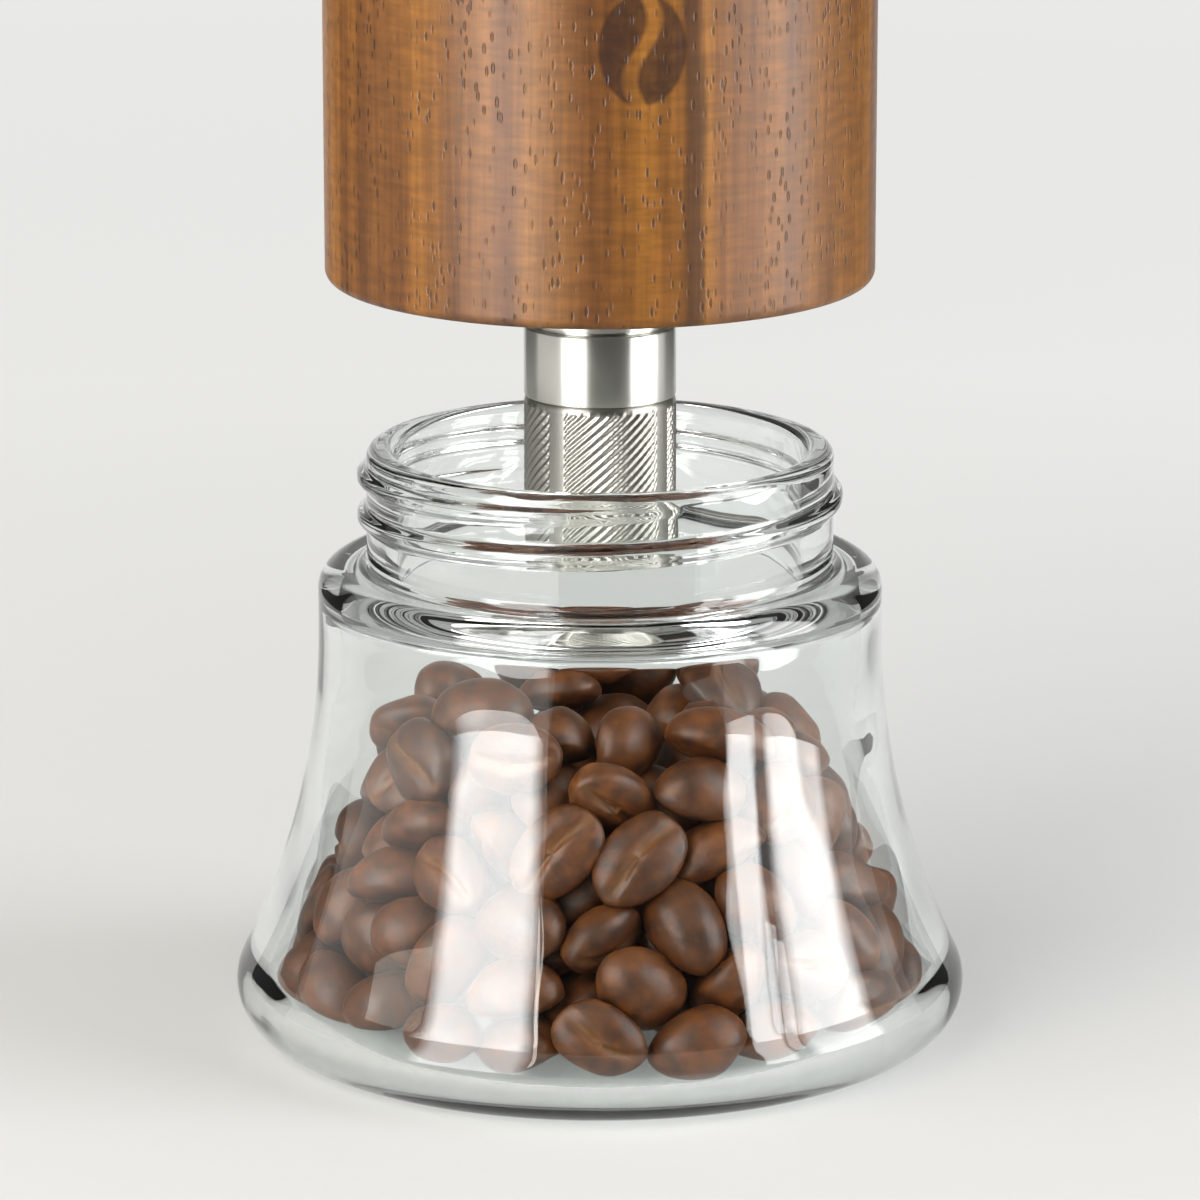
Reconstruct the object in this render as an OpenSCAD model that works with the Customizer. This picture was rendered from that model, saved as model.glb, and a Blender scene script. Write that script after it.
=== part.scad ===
// Hand crank coffee grinder: a turned wooden mill body with a conical burr set,
// a crank with a lid, and a bell-shaped glass jar that screws on below.
// The jar stands on z = 0. The mill body is drawn lifted clear of the jar by a
// whole number of thread turns, so that it stands the same way round when it is down.

/* [Jar] */
// Height of the jar from the table to its rim
jar_h = 66; // [55:1:90]
// Radius of the neck below the thread
neck_r = 25.7; // [22:0.1:34]
// Wall of the neck
neck_wall = 3.2; // [2.5:0.1:4]
// Distance from the rim down to the shoulder
neck_len = 13.1; // [12:0.1:18]
// Wall of the bell below the shoulder
jar_wall = 2.6; // [2:0.1:3.6]
// Thickness of the base
base_t = 4.5; // [3:0.1:7]
// Largest radius of the foot
foot_r = 40.6; // [38:0.1:50]
// Radius of the heel, where the wall turns into the base
heel_r = 5.5; // [4:0.1:7]
// How far the shoulder stands out past the wooden body
shoulder_lip = 1.1; // [0.5:0.1:3]
// Rounding of the shoulder's outer edge
shoulder_round = 2.7; // [2:0.1:4]
// Pitch of the neck thread
pitch = 4.45; // [3.7:0.05:5]
// Height of the neck thread
thread_h = 1; // [0.7:0.1:1.2]

/* [Wooden body] */
// Height of the wooden body
body_h = 95; // [85:1:130]
// Wall of the wood around the threaded collar
wood_wall = 1.8; // [1.5:0.1:6]
// Rounding of the wood's lower edge
edge_round = 1.3; // [0.5:0.1:1.5]
// Number of thread turns between the seated and the drawn position
turns_up = 7; // [4:1:12]

/* [Mill] */
// Outer radius of the outer burr
burr_r = 18.5; // [15:0.1:18.9]
// Thickness of the outer burr at its foot
burr_wall = 3.7; // [3:0.1:5]
// Height of the outer burr
burr_h = 14.6; // [12:0.1:20]
// Number of fine cutting grooves on each burr
fine_teeth = 30; // [18:1:36]
// Radius of the drive shaft
shaft_r = 3; // [2.5:0.1:4]
// Wall of the hopper cup
cup_wall = 0.6; // [0.5:0.1:1.5]

/* [Stem] */
// Radius of the smooth sleeve below the body
stem_r = 8.35; // [7.5:0.05:10]
// Length of the smooth sleeve
sleeve_len = 7.8; // [6:0.1:12]
// Length of the knurled adjuster
adjuster_len = 17.6; // [14:0.1:24]
// Length of the spacer that shows below the body
spacer_show = 5.2; // [3:0.1:8]
// Pitch of the adjuster's thread
adjuster_pitch = 1; // [0.75:0.25:1.5]

/* [Crank] */
// Length of the crank arm between its two axes
arm_len = 100; // [80:1:140]
// Width of the crank arm at its hub
arm_w = 15; // [12:0.5:20]
// Thickness of the crank arm
arm_t = 3; // [2:0.1:4]
// How far the arm rises between its hub and its knob
arm_rise = 7; // [0:0.5:15]
// Length of the crank knob
knob_len = 32; // [26:1:45]
// Largest radius of the crank knob
knob_r = 13; // [10:0.5:18]

/* [Hidden] */
$fn = 96;

// Clearances
running = 0.06;      // radial, between a shaft and its bush
sliding = 0.1;       // axial, between faces that turn on each other
loose = 0.4;         // radial, between the lid and the rim it drops into
thread_gap = 0.35;   // radial, between the two neck threads
seat_gap = 0.75;     // between the wood and the jar's shoulder when it is screwed down
hair = 0.01;         // a cut runs this far past the face that it opens

// The neck thread
thread_half = 1.3;   // half its width at the root
crest_half = 0.55;   // half its width at the crest
nut_half = 1.05;     // half the width of the collar's ridge at its root
nut_crest_half = 0.5;
thread_from = 100;   // the angle where the jar's thread starts, from +X
thread_to = 650;     // and where it ends, one turn and a half later
thread_drop = 8.6;   // from the rim down to the thread's middle where it starts
nut_from = 180;
nut_to = 600;
fade = 60;           // degrees over which a ridge runs out
step = 7.5;          // degrees between two sections of a ridge

// The jar
shoulder_z = jar_h - neck_len;
thread_z = jar_h - thread_drop;
crest_r = neck_r + thread_h;
neck_in = neck_r - neck_wall;
collar_in = crest_r + thread_gap;
collar_wall = 1.15;
collar_r = collar_in + collar_wall;
body_r = collar_r + wood_wall;
shoulder_r = body_r + shoulder_lip;
shoulder_t = 3;
flare_top = shoulder_z - shoulder_round - 4.2;
heel_x = foot_r - heel_r;
heel_in = 3.5;       // inner rounding between the wall and the floor
neck_fillet = 1.2;
rim_round = 1.2;

// The flare is one arc, upright at the shoulder and tangent to the heel
flare_a = shoulder_r - heel_x;
flare_b = flare_top - heel_r;
flare_r = (flare_a * flare_a + flare_b * flare_b - heel_r * heel_r) / (2 * (heel_r - flare_a));
flare_x = shoulder_r + flare_r;
flare_deg = asin(flare_b / (flare_r + heel_r));
flare_in_r = flare_r + jar_wall;
inner_drop = flare_top - base_t - heel_in;
inner_x = flare_x - sqrt(pow(flare_in_r + heel_in, 2) - pow(inner_drop, 2));
inner_deg = asin(inner_drop / (flare_in_r + heel_in));

// Heights in the mill body are measured from the wood's lower face
lift = turns_up * pitch;
body_z = shoulder_z + seat_gap + lift;
gasket_t = 1.55;
gasket_z = neck_len - seat_gap + sliding / 2;
roof_z = gasket_z + gasket_t + sliding / 2;
collar_z = 0.8;      // the collar stands back from the wood's face
flange_t = 4;
core_r = collar_r - 3.2;             // the housing's tube and the wood's upper bore
flange_top = roof_z + flange_t;
burr_top = roof_z + burr_h;
lip_r = burr_r - 1.6;
lip_t = 2;
bridge_z = burr_top + lip_t + 9;
bridge_t = 5;
cup_z = bridge_z + bridge_t;
rim_t = 2.8;
cup_flange = 0.8;
recess = 2;          // radial width of the rim's seat in the wood
seat_r = core_r + recess;
rim_z = body_h - rim_t + 0.6;
cup_top = rim_z - cup_flange;
cup_in = core_r - cup_wall;

// The burr's retaining plate
retainer_t = 1.3;
screw_r = 1;
screw_len = 7.5;
screw_head = 0.9;
screw_ring = burr_r + 2.1;

// The burrs
fine_h = 6;          // height of the fine cutting band
fine_slope = 0.35;   // radius lost for each millimetre of height on that band
burr_gap = 0.45;     // radial gap between the fine bands as drawn
cone_z = roof_z - 1.9;
cone_h = burr_h + 1.9;
cone_r = burr_r - burr_wall;          // radius of the inner burr at its foot
cone_top_r = shaft_r + 3.4;
intake_r = burr_r - 2;
groove_d = 0.7;
flutes = 6;

// The shaft
hex_r = shaft_r * 2 / sqrt(3);
hub_socket = 13;
flat_off = shaft_r - 0.6;
shaft_low = -spacer_show - sleeve_len - adjuster_len + 3;
bush_wall = 2;
lower_bush_z = bridge_z - 1;
lower_bush_h = bridge_t + 2;
upper_bridge_z = cup_top - 9;
upper_bridge_t = 4;
upper_bush_z = upper_bridge_z - 0.5;
upper_bush_h = upper_bridge_t + 1;
washer_t = 0.5;
clip_t = 0.8;
clip_play = 0.02;
clip_gap = 2.6;      // the clip's open side
groove_cut = 0.5;    // depth of the clip's groove
hex_play = 0.35;
stop_r = 1.25;
stop_len = 7;
stop_head = 1.5;
slot_w = 0.4;
clip_z = upper_bush_z + upper_bush_h + sliding + washer_t;
travel = adjuster_pitch;   // how far the inner burr moves up or down: a turn of the adjuster
stripe_turn = 57.4;  // where the first of the adjuster's four smooth stripes lies
stripe_depth = 0.25;
stripe_cut = 1.55;   // radius of the cutter that leaves a stripe

// The lid and crank
lid_z = rim_z + rim_t + loose;
lid_r = body_r - 0.6;
lid_t = 1.2;
lid_dome = 4.4;
lid_edge = 2.6;      // height of the lid's rounded edge above its seat
dome_r = lid_r * lid_r / (2 * (lid_dome - lid_edge));
skirt_t = 1.2;
skirt_h = 5;
seal_h = 1.4;
seal_depth = 0.5;    // how deep the seal sits in the skirt
hub_r = 7;
hub_low = lid_z - 6;
hub_flange_z = lid_z + lid_dome + 0.2;
hub_flange_t = 1.6;
hub_flange_r = 10;
arm_z = hub_flange_z + hub_flange_t + 3;
stud_r = 3;
arm_end_w = 12;
hub_clip_t = 0.9;
stud_len = 5;        // how far the hub's stud stands above the arm
nut_flat = 5.6;      // half the crank nut's width across its flats
nut_h = 4;
knob_z = arm_z + arm_rise + arm_t;
spindle_r = 2.5;
washer_h = 1;
head_h = 2;
head_r = 5;
spindle_end = 3;     // how far the spindle reaches below the arm
spindle_nut_h = 2.6;
ferrule_r = 7.2;
ferrule_h = 5;

function arc(cx, cy, r, from, to, n = 8) =
    [for (i = [0 : n]) let (a = from + (to - from) * i / n) [cx + r * cos(a), cy + r * sin(a)]];

// The height of a point on the flare at angle a below its upright end
function flare(radius, from, to, n = 14) =
    [for (i = [0 : n]) let (a = from + (to - from) * i / n)
        [flare_x - radius * cos(a), flare_top - radius * sin(a)]];

function ramp(a, from, to) = max(0, min(1, min(a - from, to - a) / fade));

// A ridge that climbs a cylinder. root and crest are radii, the halves its half widths there.
module ridge(root, crest, root_half, tip_half, from, to, low) {
    n = floor((to - from) / step);
    bite = crest > root ? -0.3 : 0.3;
    points = [
        for (i = [0 : n])
            let (a = from + (to - from) * i / n, s = ramp(a, from - 4, to + 4))
            let (tip = root + (crest - root) * s, w = root_half * (0.4 + 0.6 * s))
            let (top = tip_half * s + 0.05, z = low + (a - from) / 360 * pitch)
            for (p = [[root + bite, -w], [tip, -top], [tip, top], [root + bite, w]])
                [p[0] * cos(a), p[0] * sin(a), z + p[1]]
    ];
    quads = [for (i = [0 : n - 1]) for (k = [0 : 3]) let (m = (k + 1) % 4)
        [4 * i + k, 4 * i + m, 4 * i + 4 + m, 4 * i + 4 + k]];
    sides = [for (q = quads) each [[q[0], q[1], q[2]], [q[0], q[2], q[3]]]];
    caps = [[3, 2, 1], [3, 1, 0], [4 * n, 4 * n + 1, 4 * n + 2], [4 * n, 4 * n + 2, 4 * n + 3]];
    flip = crest < root;
    faces = concat(sides, caps);
    polyhedron(points, [for (f = faces) flip ? [f[0], f[2], f[1]] : f]);
}

module tube(r_out, r_in, z, h) {
    translate([0, 0, z])
        difference() {
            cylinder(r = r_out, h = h);
            translate([0, 0, -1]) cylinder(r = r_in, h = h + 2);
        }
}

module at_body() {
    translate([0, 0, body_z]) children();
}

// The shaft's section where two flats carry the burr round
module keyed(r, off, h) {
    intersection() {
        cylinder(r = r, h = h);
        translate([-off, -2 * r, 0]) cube([2 * off, 4 * r, h]);
    }
}

module glass_jar() {
    outer = concat(
        [[0, 0]],
        arc(heel_x, heel_r, heel_r, -90, flare_deg, 12),
        flare(flare_r, flare_deg, 0),
        arc(shoulder_r - shoulder_round, shoulder_z - shoulder_round, shoulder_round, 0, 90),
        arc(neck_r + neck_fillet, shoulder_z + neck_fillet, neck_fillet, 270, 180, 5),
        arc(neck_r - rim_round, jar_h - rim_round, rim_round, 0, 90, 5)
    );
    under = shoulder_z - shoulder_t;
    inner = concat(
        arc(neck_in + rim_round, jar_h - rim_round, rim_round, 90, 180, 5),
        arc(neck_in + neck_fillet, under + neck_fillet, neck_fillet, 180, 270, 5),
        arc(shoulder_r - jar_wall - 2, under - 2, 2, 90, 0, 6),
        flare(flare_in_r, 0, inner_deg),
        arc(inner_x, base_t + heel_in, heel_in, inner_deg, -90),
        [[0, base_t]]
    );
    color([0.86, 0.92, 0.92, 0.4]) union() {
        rotate_extrude() polygon(concat(outer, inner));
        ridge(neck_r, crest_r, thread_half, crest_half, thread_from, thread_to, thread_z);
    }
}

module rim_gasket() {
    color("whitesmoke") at_body()
        tube(collar_in - 0.15, neck_in + 0.3, gasket_z, gasket_t);
}

module wooden_body() {
    section = concat(
        [[collar_r, 0]],
        arc(body_r - edge_round, edge_round, edge_round, -90, 0),
        arc(body_r - edge_round, body_h - edge_round, edge_round, 0, 90),
        [[seat_r, body_h], [seat_r, cup_top], [core_r, cup_top], [core_r, flange_top], [collar_r, flange_top]]
    );
    color([0.55, 0.34, 0.18]) at_body() rotate_extrude() polygon(section);
}

module threaded_collar() {
    low = thread_z + ((nut_from - thread_from) / 360 - 0.5) * pitch - shoulder_z - seat_gap;
    color([0.12, 0.11, 0.1]) at_body() union() {
        tube(collar_r, collar_in, collar_z, roof_z - collar_z);
        ridge(collar_in, neck_r + thread_gap, nut_half, nut_crest_half, nut_from, nut_to, low);
    }
}

// Places children at each retainer screw
module at_screws() {
    for (i = [0 : 2]) rotate(30 + 120 * i) translate([screw_ring, 0, 0]) children();
}

module burr_housing() {
    section = [
        [collar_r, roof_z], [collar_r, flange_top], [core_r, flange_top], [core_r, bridge_z],
        [core_r - 1.2, bridge_z], [lip_r, burr_top + lip_t], [lip_r, burr_top],
        [burr_r, burr_top], [burr_r, roof_z]
    ];
    hole = screw_len - retainer_t + 1.5;
    color([0.14, 0.14, 0.14]) at_body() difference() {
        rotate_extrude() polygon(section);
        at_screws() translate([0, 0, roof_z - 1]) cylinder(r = screw_r, h = hole, $fn = 32);
    }
}

// Grooves cut into a cone's fine band, leaning as the burr turns
module fine_grooves(r, z, h, inward) {
    for (i = [0 : fine_teeth - 1])
        rotate(360 / fine_teeth * i)
            translate([r, 0, z])
                rotate([18, inward ? fine_slope * 45 : -fine_slope * 45, 0])
                    translate([-groove_d, -0.35, -h])
                        cube([2 * groove_d, 0.7, 2 * h]);
}

module outer_burr() {
    foot = cone_r - fine_slope * (roof_z - cone_z) + burr_gap;
    waist = cone_r - fine_slope * (roof_z - cone_z + fine_h) + burr_gap;
    section = [
        [foot, roof_z], [burr_r, roof_z], [burr_r, burr_top], [intake_r, burr_top],
        [waist, roof_z + fine_h]
    ];
    color([0.93, 0.92, 0.88]) at_body() difference() {
        rotate_extrude() polygon(section);
        intersection() {
            fine_grooves((foot + waist) / 2, roof_z + fine_h / 2, fine_h, false);
            translate([0, 0, roof_z - 1]) cylinder(r = burr_r - 1.5, h = fine_h + 1);
        }
    }
}

module inner_burr() {
    waist_z = fine_h + roof_z - cone_z;
    waist = cone_r - fine_slope * waist_z;
    section = [
        [0, 0], [cone_r, 0], [waist, waist_z], [cone_top_r, cone_h], [0, cone_h]
    ];
    color([0.93, 0.92, 0.88]) at_body() translate([0, 0, cone_z]) difference() {
        rotate_extrude() polygon(section);
        fine_grooves((cone_r + waist) / 2, waist_z / 2, fine_h, true);
        for (i = [0 : flutes - 1])
            rotate(360 / flutes * i)
                translate([(waist + cone_top_r) / 2 + 1.2, 0, (waist_z + cone_h) / 2])
                    rotate([24, -38, 0])
                        cylinder(r = 2.2, h = cone_h, center = true, $fn = 32);
        translate([0, 0, -1]) keyed(shaft_r + running, flat_off + running, cone_h + 2);
    }
}

module burr_retainer() {
    color([0.75, 0.76, 0.77]) at_body() difference() {
        tube(neck_in - 0.3, cone_r + 0.6, roof_z - retainer_t, retainer_t);
        at_screws() translate([0, 0, roof_z - 2]) cylinder(r = screw_r, h = 3, $fn = 32);
    }
}

module retainer_screws() {
    head_z = roof_z - retainer_t - screw_head;
    color([0.8, 0.8, 0.82]) at_body() at_screws() difference() {
        union() {
            translate([0, 0, roof_z - retainer_t]) cylinder(r = screw_r, h = screw_len, $fn = 32);
            translate([0, 0, head_z])
                cylinder(r1 = screw_r + 0.2, r2 = screw_r + 0.5, h = screw_head, $fn = 32);
        }
        translate([-slot_w / 2, -2, head_z - hair]) cube([slot_w, 4, 0.4]);
    }
}

// A ring and three arms that hold a bush on the axis
module bridge(r_out, ring, hub, arm, t, bush) {
    reach = r_out - ring - hub + 1.6;
    difference() {
        union() {
            tube(r_out, r_out - ring, 0, t);
            cylinder(r = hub, h = t);
            for (i = [0 : 2])
                rotate(90 + 120 * i) translate([hub - 1, -arm / 2, 0]) cube([reach, arm, t]);
        }
        translate([0, 0, -1]) cylinder(r = bush, h = t + 2);
    }
}

module lower_bridge() {
    color([0.14, 0.14, 0.14]) at_body() translate([0, 0, bridge_z])
        bridge(core_r, 1.8, shaft_r + bush_wall + 2.6, 4, bridge_t, shaft_r + bush_wall);
}

module lower_bush() {
    color([0.72, 0.53, 0.28]) at_body() union() {
        tube(shaft_r + bush_wall, shaft_r + running, lower_bush_z + 1, lower_bush_h - 1);
        tube(shaft_r + bush_wall + 1.6, shaft_r + running, lower_bush_z, 1);
    }
}

module hopper_cup() {
    color([0.78, 0.79, 0.8]) at_body() union() {
        tube(core_r, cup_in, cup_z, cup_top - cup_z + cup_flange);
        tube(seat_r, core_r - hair, cup_top, cup_flange);
    }
}

module upper_bridge() {
    color([0.78, 0.79, 0.8]) at_body() translate([0, 0, upper_bridge_z])
        bridge(cup_in, 1, shaft_r + bush_wall + 1.5, 3, upper_bridge_t, shaft_r + bush_wall);
}

module upper_bush() {
    color([0.72, 0.53, 0.28]) at_body()
        tube(shaft_r + bush_wall, shaft_r + running, upper_bush_z, upper_bush_h);
}

module top_rim() {
    color([0.8, 0.81, 0.82]) at_body() rotate_extrude()
        polygon([
            [cup_in, rim_z], [seat_r, rim_z], [seat_r, rim_z + rim_t - 0.4],
            [seat_r - 0.4, rim_z + rim_t], [cup_in + 0.3, rim_z + rim_t], [cup_in, rim_z + rim_t - 0.3]
        ]);
}

module drive_shaft() {
    top = hub_low + hub_socket - 0.5;
    hex_z = rim_z - 3;
    flats_z = cone_z - travel - 1;
    flats_top = cone_z + cone_h + travel + 0.6;
    color([0.72, 0.73, 0.74]) at_body() difference() {
        union() {
            translate([0, 0, shaft_low]) cylinder(r = shaft_r, h = flats_z - shaft_low);
            translate([0, 0, flats_z - hair]) keyed(shaft_r, flat_off, flats_top - flats_z + 2 * hair);
            translate([0, 0, flats_top]) cylinder(r = shaft_r, h = hex_z - flats_top + hair);
            translate([0, 0, hex_z]) cylinder(r = hex_r - hex_play, h = top - hex_z, $fn = 6);
        }
        tube(shaft_r + 1, shaft_r - groove_cut, clip_z - clip_play, clip_t + 2 * clip_play);
        translate([0, 0, shaft_low - 1]) cylinder(r = stop_r, h = stop_len + 3, $fn = 32);
    }
}

module thrust_washer() {
    color([0.8, 0.8, 0.82]) at_body()
        tube(shaft_r + 2.6, shaft_r + running, clip_z - washer_t, washer_t);
}

module shaft_circlip() {
    color([0.35, 0.35, 0.36]) at_body() difference() {
        tube(shaft_r + 1.8, shaft_r - groove_cut, clip_z, clip_t);
        translate([0, -clip_gap / 2, clip_z - 1]) cube([2 * shaft_r, clip_gap, 3]);
    }
}

module stop_screw() {
    color([0.8, 0.8, 0.82]) at_body() difference() {
        union() {
            translate([0, 0, shaft_low]) cylinder(r = stop_r, h = stop_len, $fn = 32);
            translate([0, 0, shaft_low - stop_head]) cylinder(r = shaft_r + 1.2, h = stop_head, $fn = 48);
        }
        translate([-shaft_r, -slot_w, shaft_low - stop_head - hair]) cube([2 * shaft_r, 2 * slot_w, 0.6]);
    }
}

// A round wire wound up a cylinder, with its end turns lying flat
module burr_spring() {
    low = cone_z + cone_h + 0.1;
    high = lower_bush_z - 0.1;
    wire = 0.45;
    coil = shaft_r + 1.9;
    turns = 5.5;
    per_turn = 20;
    sides = 8;
    n = turns * per_turn;
    function rise(u) = max(0, min(1, (u * turns - 0.75) / (turns - 1.5)));
    points = [
        for (i = [0 : n])
            let (u = i / n, a = 360 * turns * u, z = low + wire + (high - low - 2 * wire) * rise(u))
            for (k = [0 : sides - 1]) let (b = 360 * k / sides)
                [(coil + wire * cos(b)) * cos(a), (coil + wire * cos(b)) * sin(a), z + wire * sin(b)]
    ];
    walls = [for (i = [0 : n - 1]) for (k = [0 : sides - 1])
        let (m = (k + 1) % sides, low_ring = sides * i, high_ring = low_ring + sides)
            each [[low_ring + k, high_ring + m, low_ring + m], [low_ring + k, high_ring + k, high_ring + m]]];
    caps = [[for (k = [0 : sides - 1]) k], [for (k = [sides - 1 : -1 : 0]) sides * n + k]];
    color([0.6, 0.6, 0.62]) at_body() polyhedron(points, concat(walls, caps));
}

module stem_spacer() {
    color([0.8, 0.81, 0.82]) at_body() translate([0, 0, -spacer_show]) difference() {
        cylinder(r = stem_r - 0.25, h = cone_z + spacer_show);
        translate([0, 0, -1]) cylinder(r = shaft_r + running, h = cone_z + spacer_show + 2);
    }
}

module stem_sleeve() {
    z = -spacer_show - sleeve_len;
    color([0.8, 0.81, 0.82]) at_body() rotate_extrude()
        polygon([[shaft_r + running, z], [stem_r, z], [stem_r, z + sleeve_len - 0.5],
            [stem_r - 0.5, z + sleeve_len], [shaft_r + running, z + sleeve_len]]);
}

module adjuster_knob() {
    z = -spacer_show - sleeve_len - adjuster_len;
    color([0.76, 0.77, 0.76]) at_body() difference() {
        rotate_extrude()
            polygon([[shaft_r + running, z], [stem_r - 0.5, z], [stem_r, z + 0.5],
                [stem_r, z + adjuster_len - sliding], [shaft_r + running, z + adjuster_len - sliding]]);
        for (i = [0 : 3])
            rotate(stripe_turn + 90 * i) translate([0, stripe_depth - stem_r - stripe_cut, z - 1])
                cylinder(r = stripe_cut, h = adjuster_len + 2, $fn = 32);
        translate([0, 0, z - 1]) cylinder(r = shaft_r + 2, h = shaft_low + travel + 0.3 - z + 1);
    }
}

module lid() {
    edge_r = 1.2;
    brim = lid_r - edge_r;
    top = lid_z + lid_dome - dome_r;
    plug = cup_in - loose;
    bore = asin(hub_r / dome_r);
    turn = asin(brim / dome_r);
    inside = asin((plug - skirt_t) / (dome_r - lid_t));
    brim_in = asin((brim - 0.6) / (dome_r - lid_t));
    low = top + dome_r * cos(turn) - edge_r;
    outline = concat(
        arc(0, top, dome_r, 90 - bore, 90 - turn, 8),
        arc(brim, low, edge_r, 75, 0, 5),
        [[lid_r, lid_z], [lid_r - lid_t, lid_z]],
        arc(0, top, dome_r - lid_t, 90 - brim_in, 90 - asin(plug / (dome_r - lid_t)), 2),
        [[plug, lid_z - skirt_h], [plug - skirt_t, lid_z - skirt_h]],
        arc(0, top, dome_r - lid_t, 90 - inside, 90 - asin(hub_r / (dome_r - lid_t)), 8)
    );
    color([0.8, 0.81, 0.82]) at_body() difference() {
        rotate_extrude() polygon(outline);
        tube(cup_in, plug - seal_depth, lid_z - skirt_h + 1.5, seal_h);
    }
}

module lid_seal() {
    color([0.2, 0.2, 0.2]) at_body()
        tube(cup_in - 0.1, cup_in - loose - seal_depth, lid_z - skirt_h + 1.5, seal_h);
}

module crank_hub() {
    color([0.8, 0.81, 0.82]) at_body() difference() {
        union() {
            translate([0, 0, hub_low]) cylinder(r = hub_r, h = arm_z - hub_low);
            translate([0, 0, hub_flange_z]) cylinder(r = hub_flange_r, h = hub_flange_t);
            translate([0, 0, arm_z - hair]) cylinder(r = stud_r, h = arm_t + stud_len);
        }
        translate([0, 0, hub_low - 1]) cylinder(r = hex_r, h = hub_socket + 1, $fn = 6);
    }
}

module hub_clip() {
    color([0.35, 0.35, 0.36]) at_body()
        tube(hub_r + 2, hub_r, lid_z + lid_dome - lid_t - 1.3, hub_clip_t);
}

module crank_arm() {
    half = arm_w / 2;
    tip = arm_end_w / 2;
    low = arm_len * 0.22;
    high = arm_len * 0.5;
    color([0.8, 0.81, 0.82]) at_body() difference() {
        intersection() {
            translate([0, 0, arm_z - 1]) linear_extrude(arm_rise + arm_t + 2) union() {
                circle(r = half);
                translate([arm_len, 0]) circle(r = tip);
                polygon([[0, -half], [arm_len, -tip], [arm_len, tip], [0, half]]);
            }
            translate([0, arm_w, 0]) rotate([90, 0, 0]) linear_extrude(2 * arm_w)
                translate([0, arm_z]) polygon([
                    [-half - 1, 0], [low, 0], [high, arm_rise], [arm_len + tip + 1, arm_rise],
                    [arm_len + tip + 1, arm_rise + arm_t], [high - 0.6, arm_rise + arm_t],
                    [low - 0.6, arm_t], [-half - 1, arm_t]
                ]);
        }
        translate([0, 0, arm_z - 1]) cylinder(r = stud_r, h = arm_t + 2);
        translate([arm_len, 0, arm_z]) cylinder(r = spindle_r, h = arm_rise + arm_t + 1);
    }
}

module crank_nut() {
    dome = nut_flat - 0.2;
    foot = nut_h - 0.1;
    color([0.85, 0.86, 0.87]) at_body() translate([0, 0, arm_z + arm_t]) difference() {
        union() {
            cylinder(r = nut_flat * 2 / sqrt(3), h = nut_h, $fn = 6);
            rotate_extrude() polygon(concat([[0, foot], [dome, foot]], arc(0, foot, dome, 0, 90, 8)));
        }
        translate([0, 0, -1]) cylinder(r = stud_r, h = stud_len + 1);
    }
}

// Places children on the crank knob's axis, at the arm's upper face
module at_knob() {
    translate([arm_len, 0, body_z + knob_z]) children();
}

module knob_spindle() {
    color([0.85, 0.86, 0.87]) at_knob() union() {
        translate([0, 0, -arm_t - spindle_end])
            cylinder(r = spindle_r, h = arm_t + spindle_end + washer_h + knob_len - head_h);
        translate([0, 0, washer_h + knob_len - head_h]) cylinder(r = head_r, h = head_h - 0.5);
        translate([0, 0, washer_h + knob_len - 0.5 - hair])
            cylinder(r1 = head_r, r2 = head_r - 0.6, h = 0.5);
    }
}

module spindle_nut() {
    color([0.85, 0.86, 0.87]) at_knob() difference() {
        translate([0, 0, -arm_t - spindle_nut_h])
            cylinder(r = spindle_r * 1.84, h = spindle_nut_h, $fn = 6);
        translate([0, 0, -arm_t - 4]) cylinder(r = spindle_r, h = 6);
    }
}

module knob_washer() {
    color([0.85, 0.86, 0.87]) at_knob() tube(ferrule_r - 0.2, spindle_r, 0, washer_h - sliding);
}

module crank_knob() {
    bore = spindle_r + running;
    top = knob_len - 0.2;
    swell = knob_r - ferrule_r;
    crown = swell - 2.4;
    section = concat(
        [[bore, ferrule_h], [ferrule_r - 1, ferrule_h]],
        [for (i = [0 : 16]) let (u = i / 16)
            let (belly = swell * pow(sin(90 * min(1, u * 1.6)), 1.4))
            let (fall = crown * pow(max(0, (u - 0.6) / 0.4), 2.6))
            [ferrule_r + belly - fall, ferrule_h + (top - ferrule_h) * u]],
        [[head_r + 0.4, top], [head_r + 0.4, knob_len - head_h - 0.3], [bore, knob_len - head_h - 0.3]]
    );
    color([0.5, 0.3, 0.16]) at_knob() translate([0, 0, washer_h]) rotate_extrude() polygon(section);
}

module knob_ferrule() {
    color([0.85, 0.86, 0.87]) at_knob() translate([0, 0, washer_h])
        tube(ferrule_r, spindle_r + running, 0, ferrule_h);
}

glass_jar();
rim_gasket();
wooden_body();
threaded_collar();
burr_housing();
outer_burr();
burr_retainer();
retainer_screws();
lower_bridge();
lower_bush();
hopper_cup();
upper_bridge();
upper_bush();
top_rim();
drive_shaft();
thrust_washer();
shaft_circlip();
stop_screw();
inner_burr();
burr_spring();
stem_spacer();
stem_sleeve();
adjuster_knob();
lid();
lid_seal();
crank_hub();
hub_clip();
crank_arm();
crank_nut();
knob_spindle();
spindle_nut();
knob_washer();
crank_knob();
knob_ferrule();
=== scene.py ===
# %% [markdown]
# # A hand crank coffee grinder
# This lesson dresses a finished mechanical model of a wooden coffee mill. The CAD model
# knows every size and every moving part, so it comes in first and stays fixed. Round it come
# the visible surfaces, clear glass, turned wood and satin steel, and the light on them.

# %% Load the frame
import math
import random

import bpy
import numpy as np
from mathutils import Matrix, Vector, noise


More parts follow.
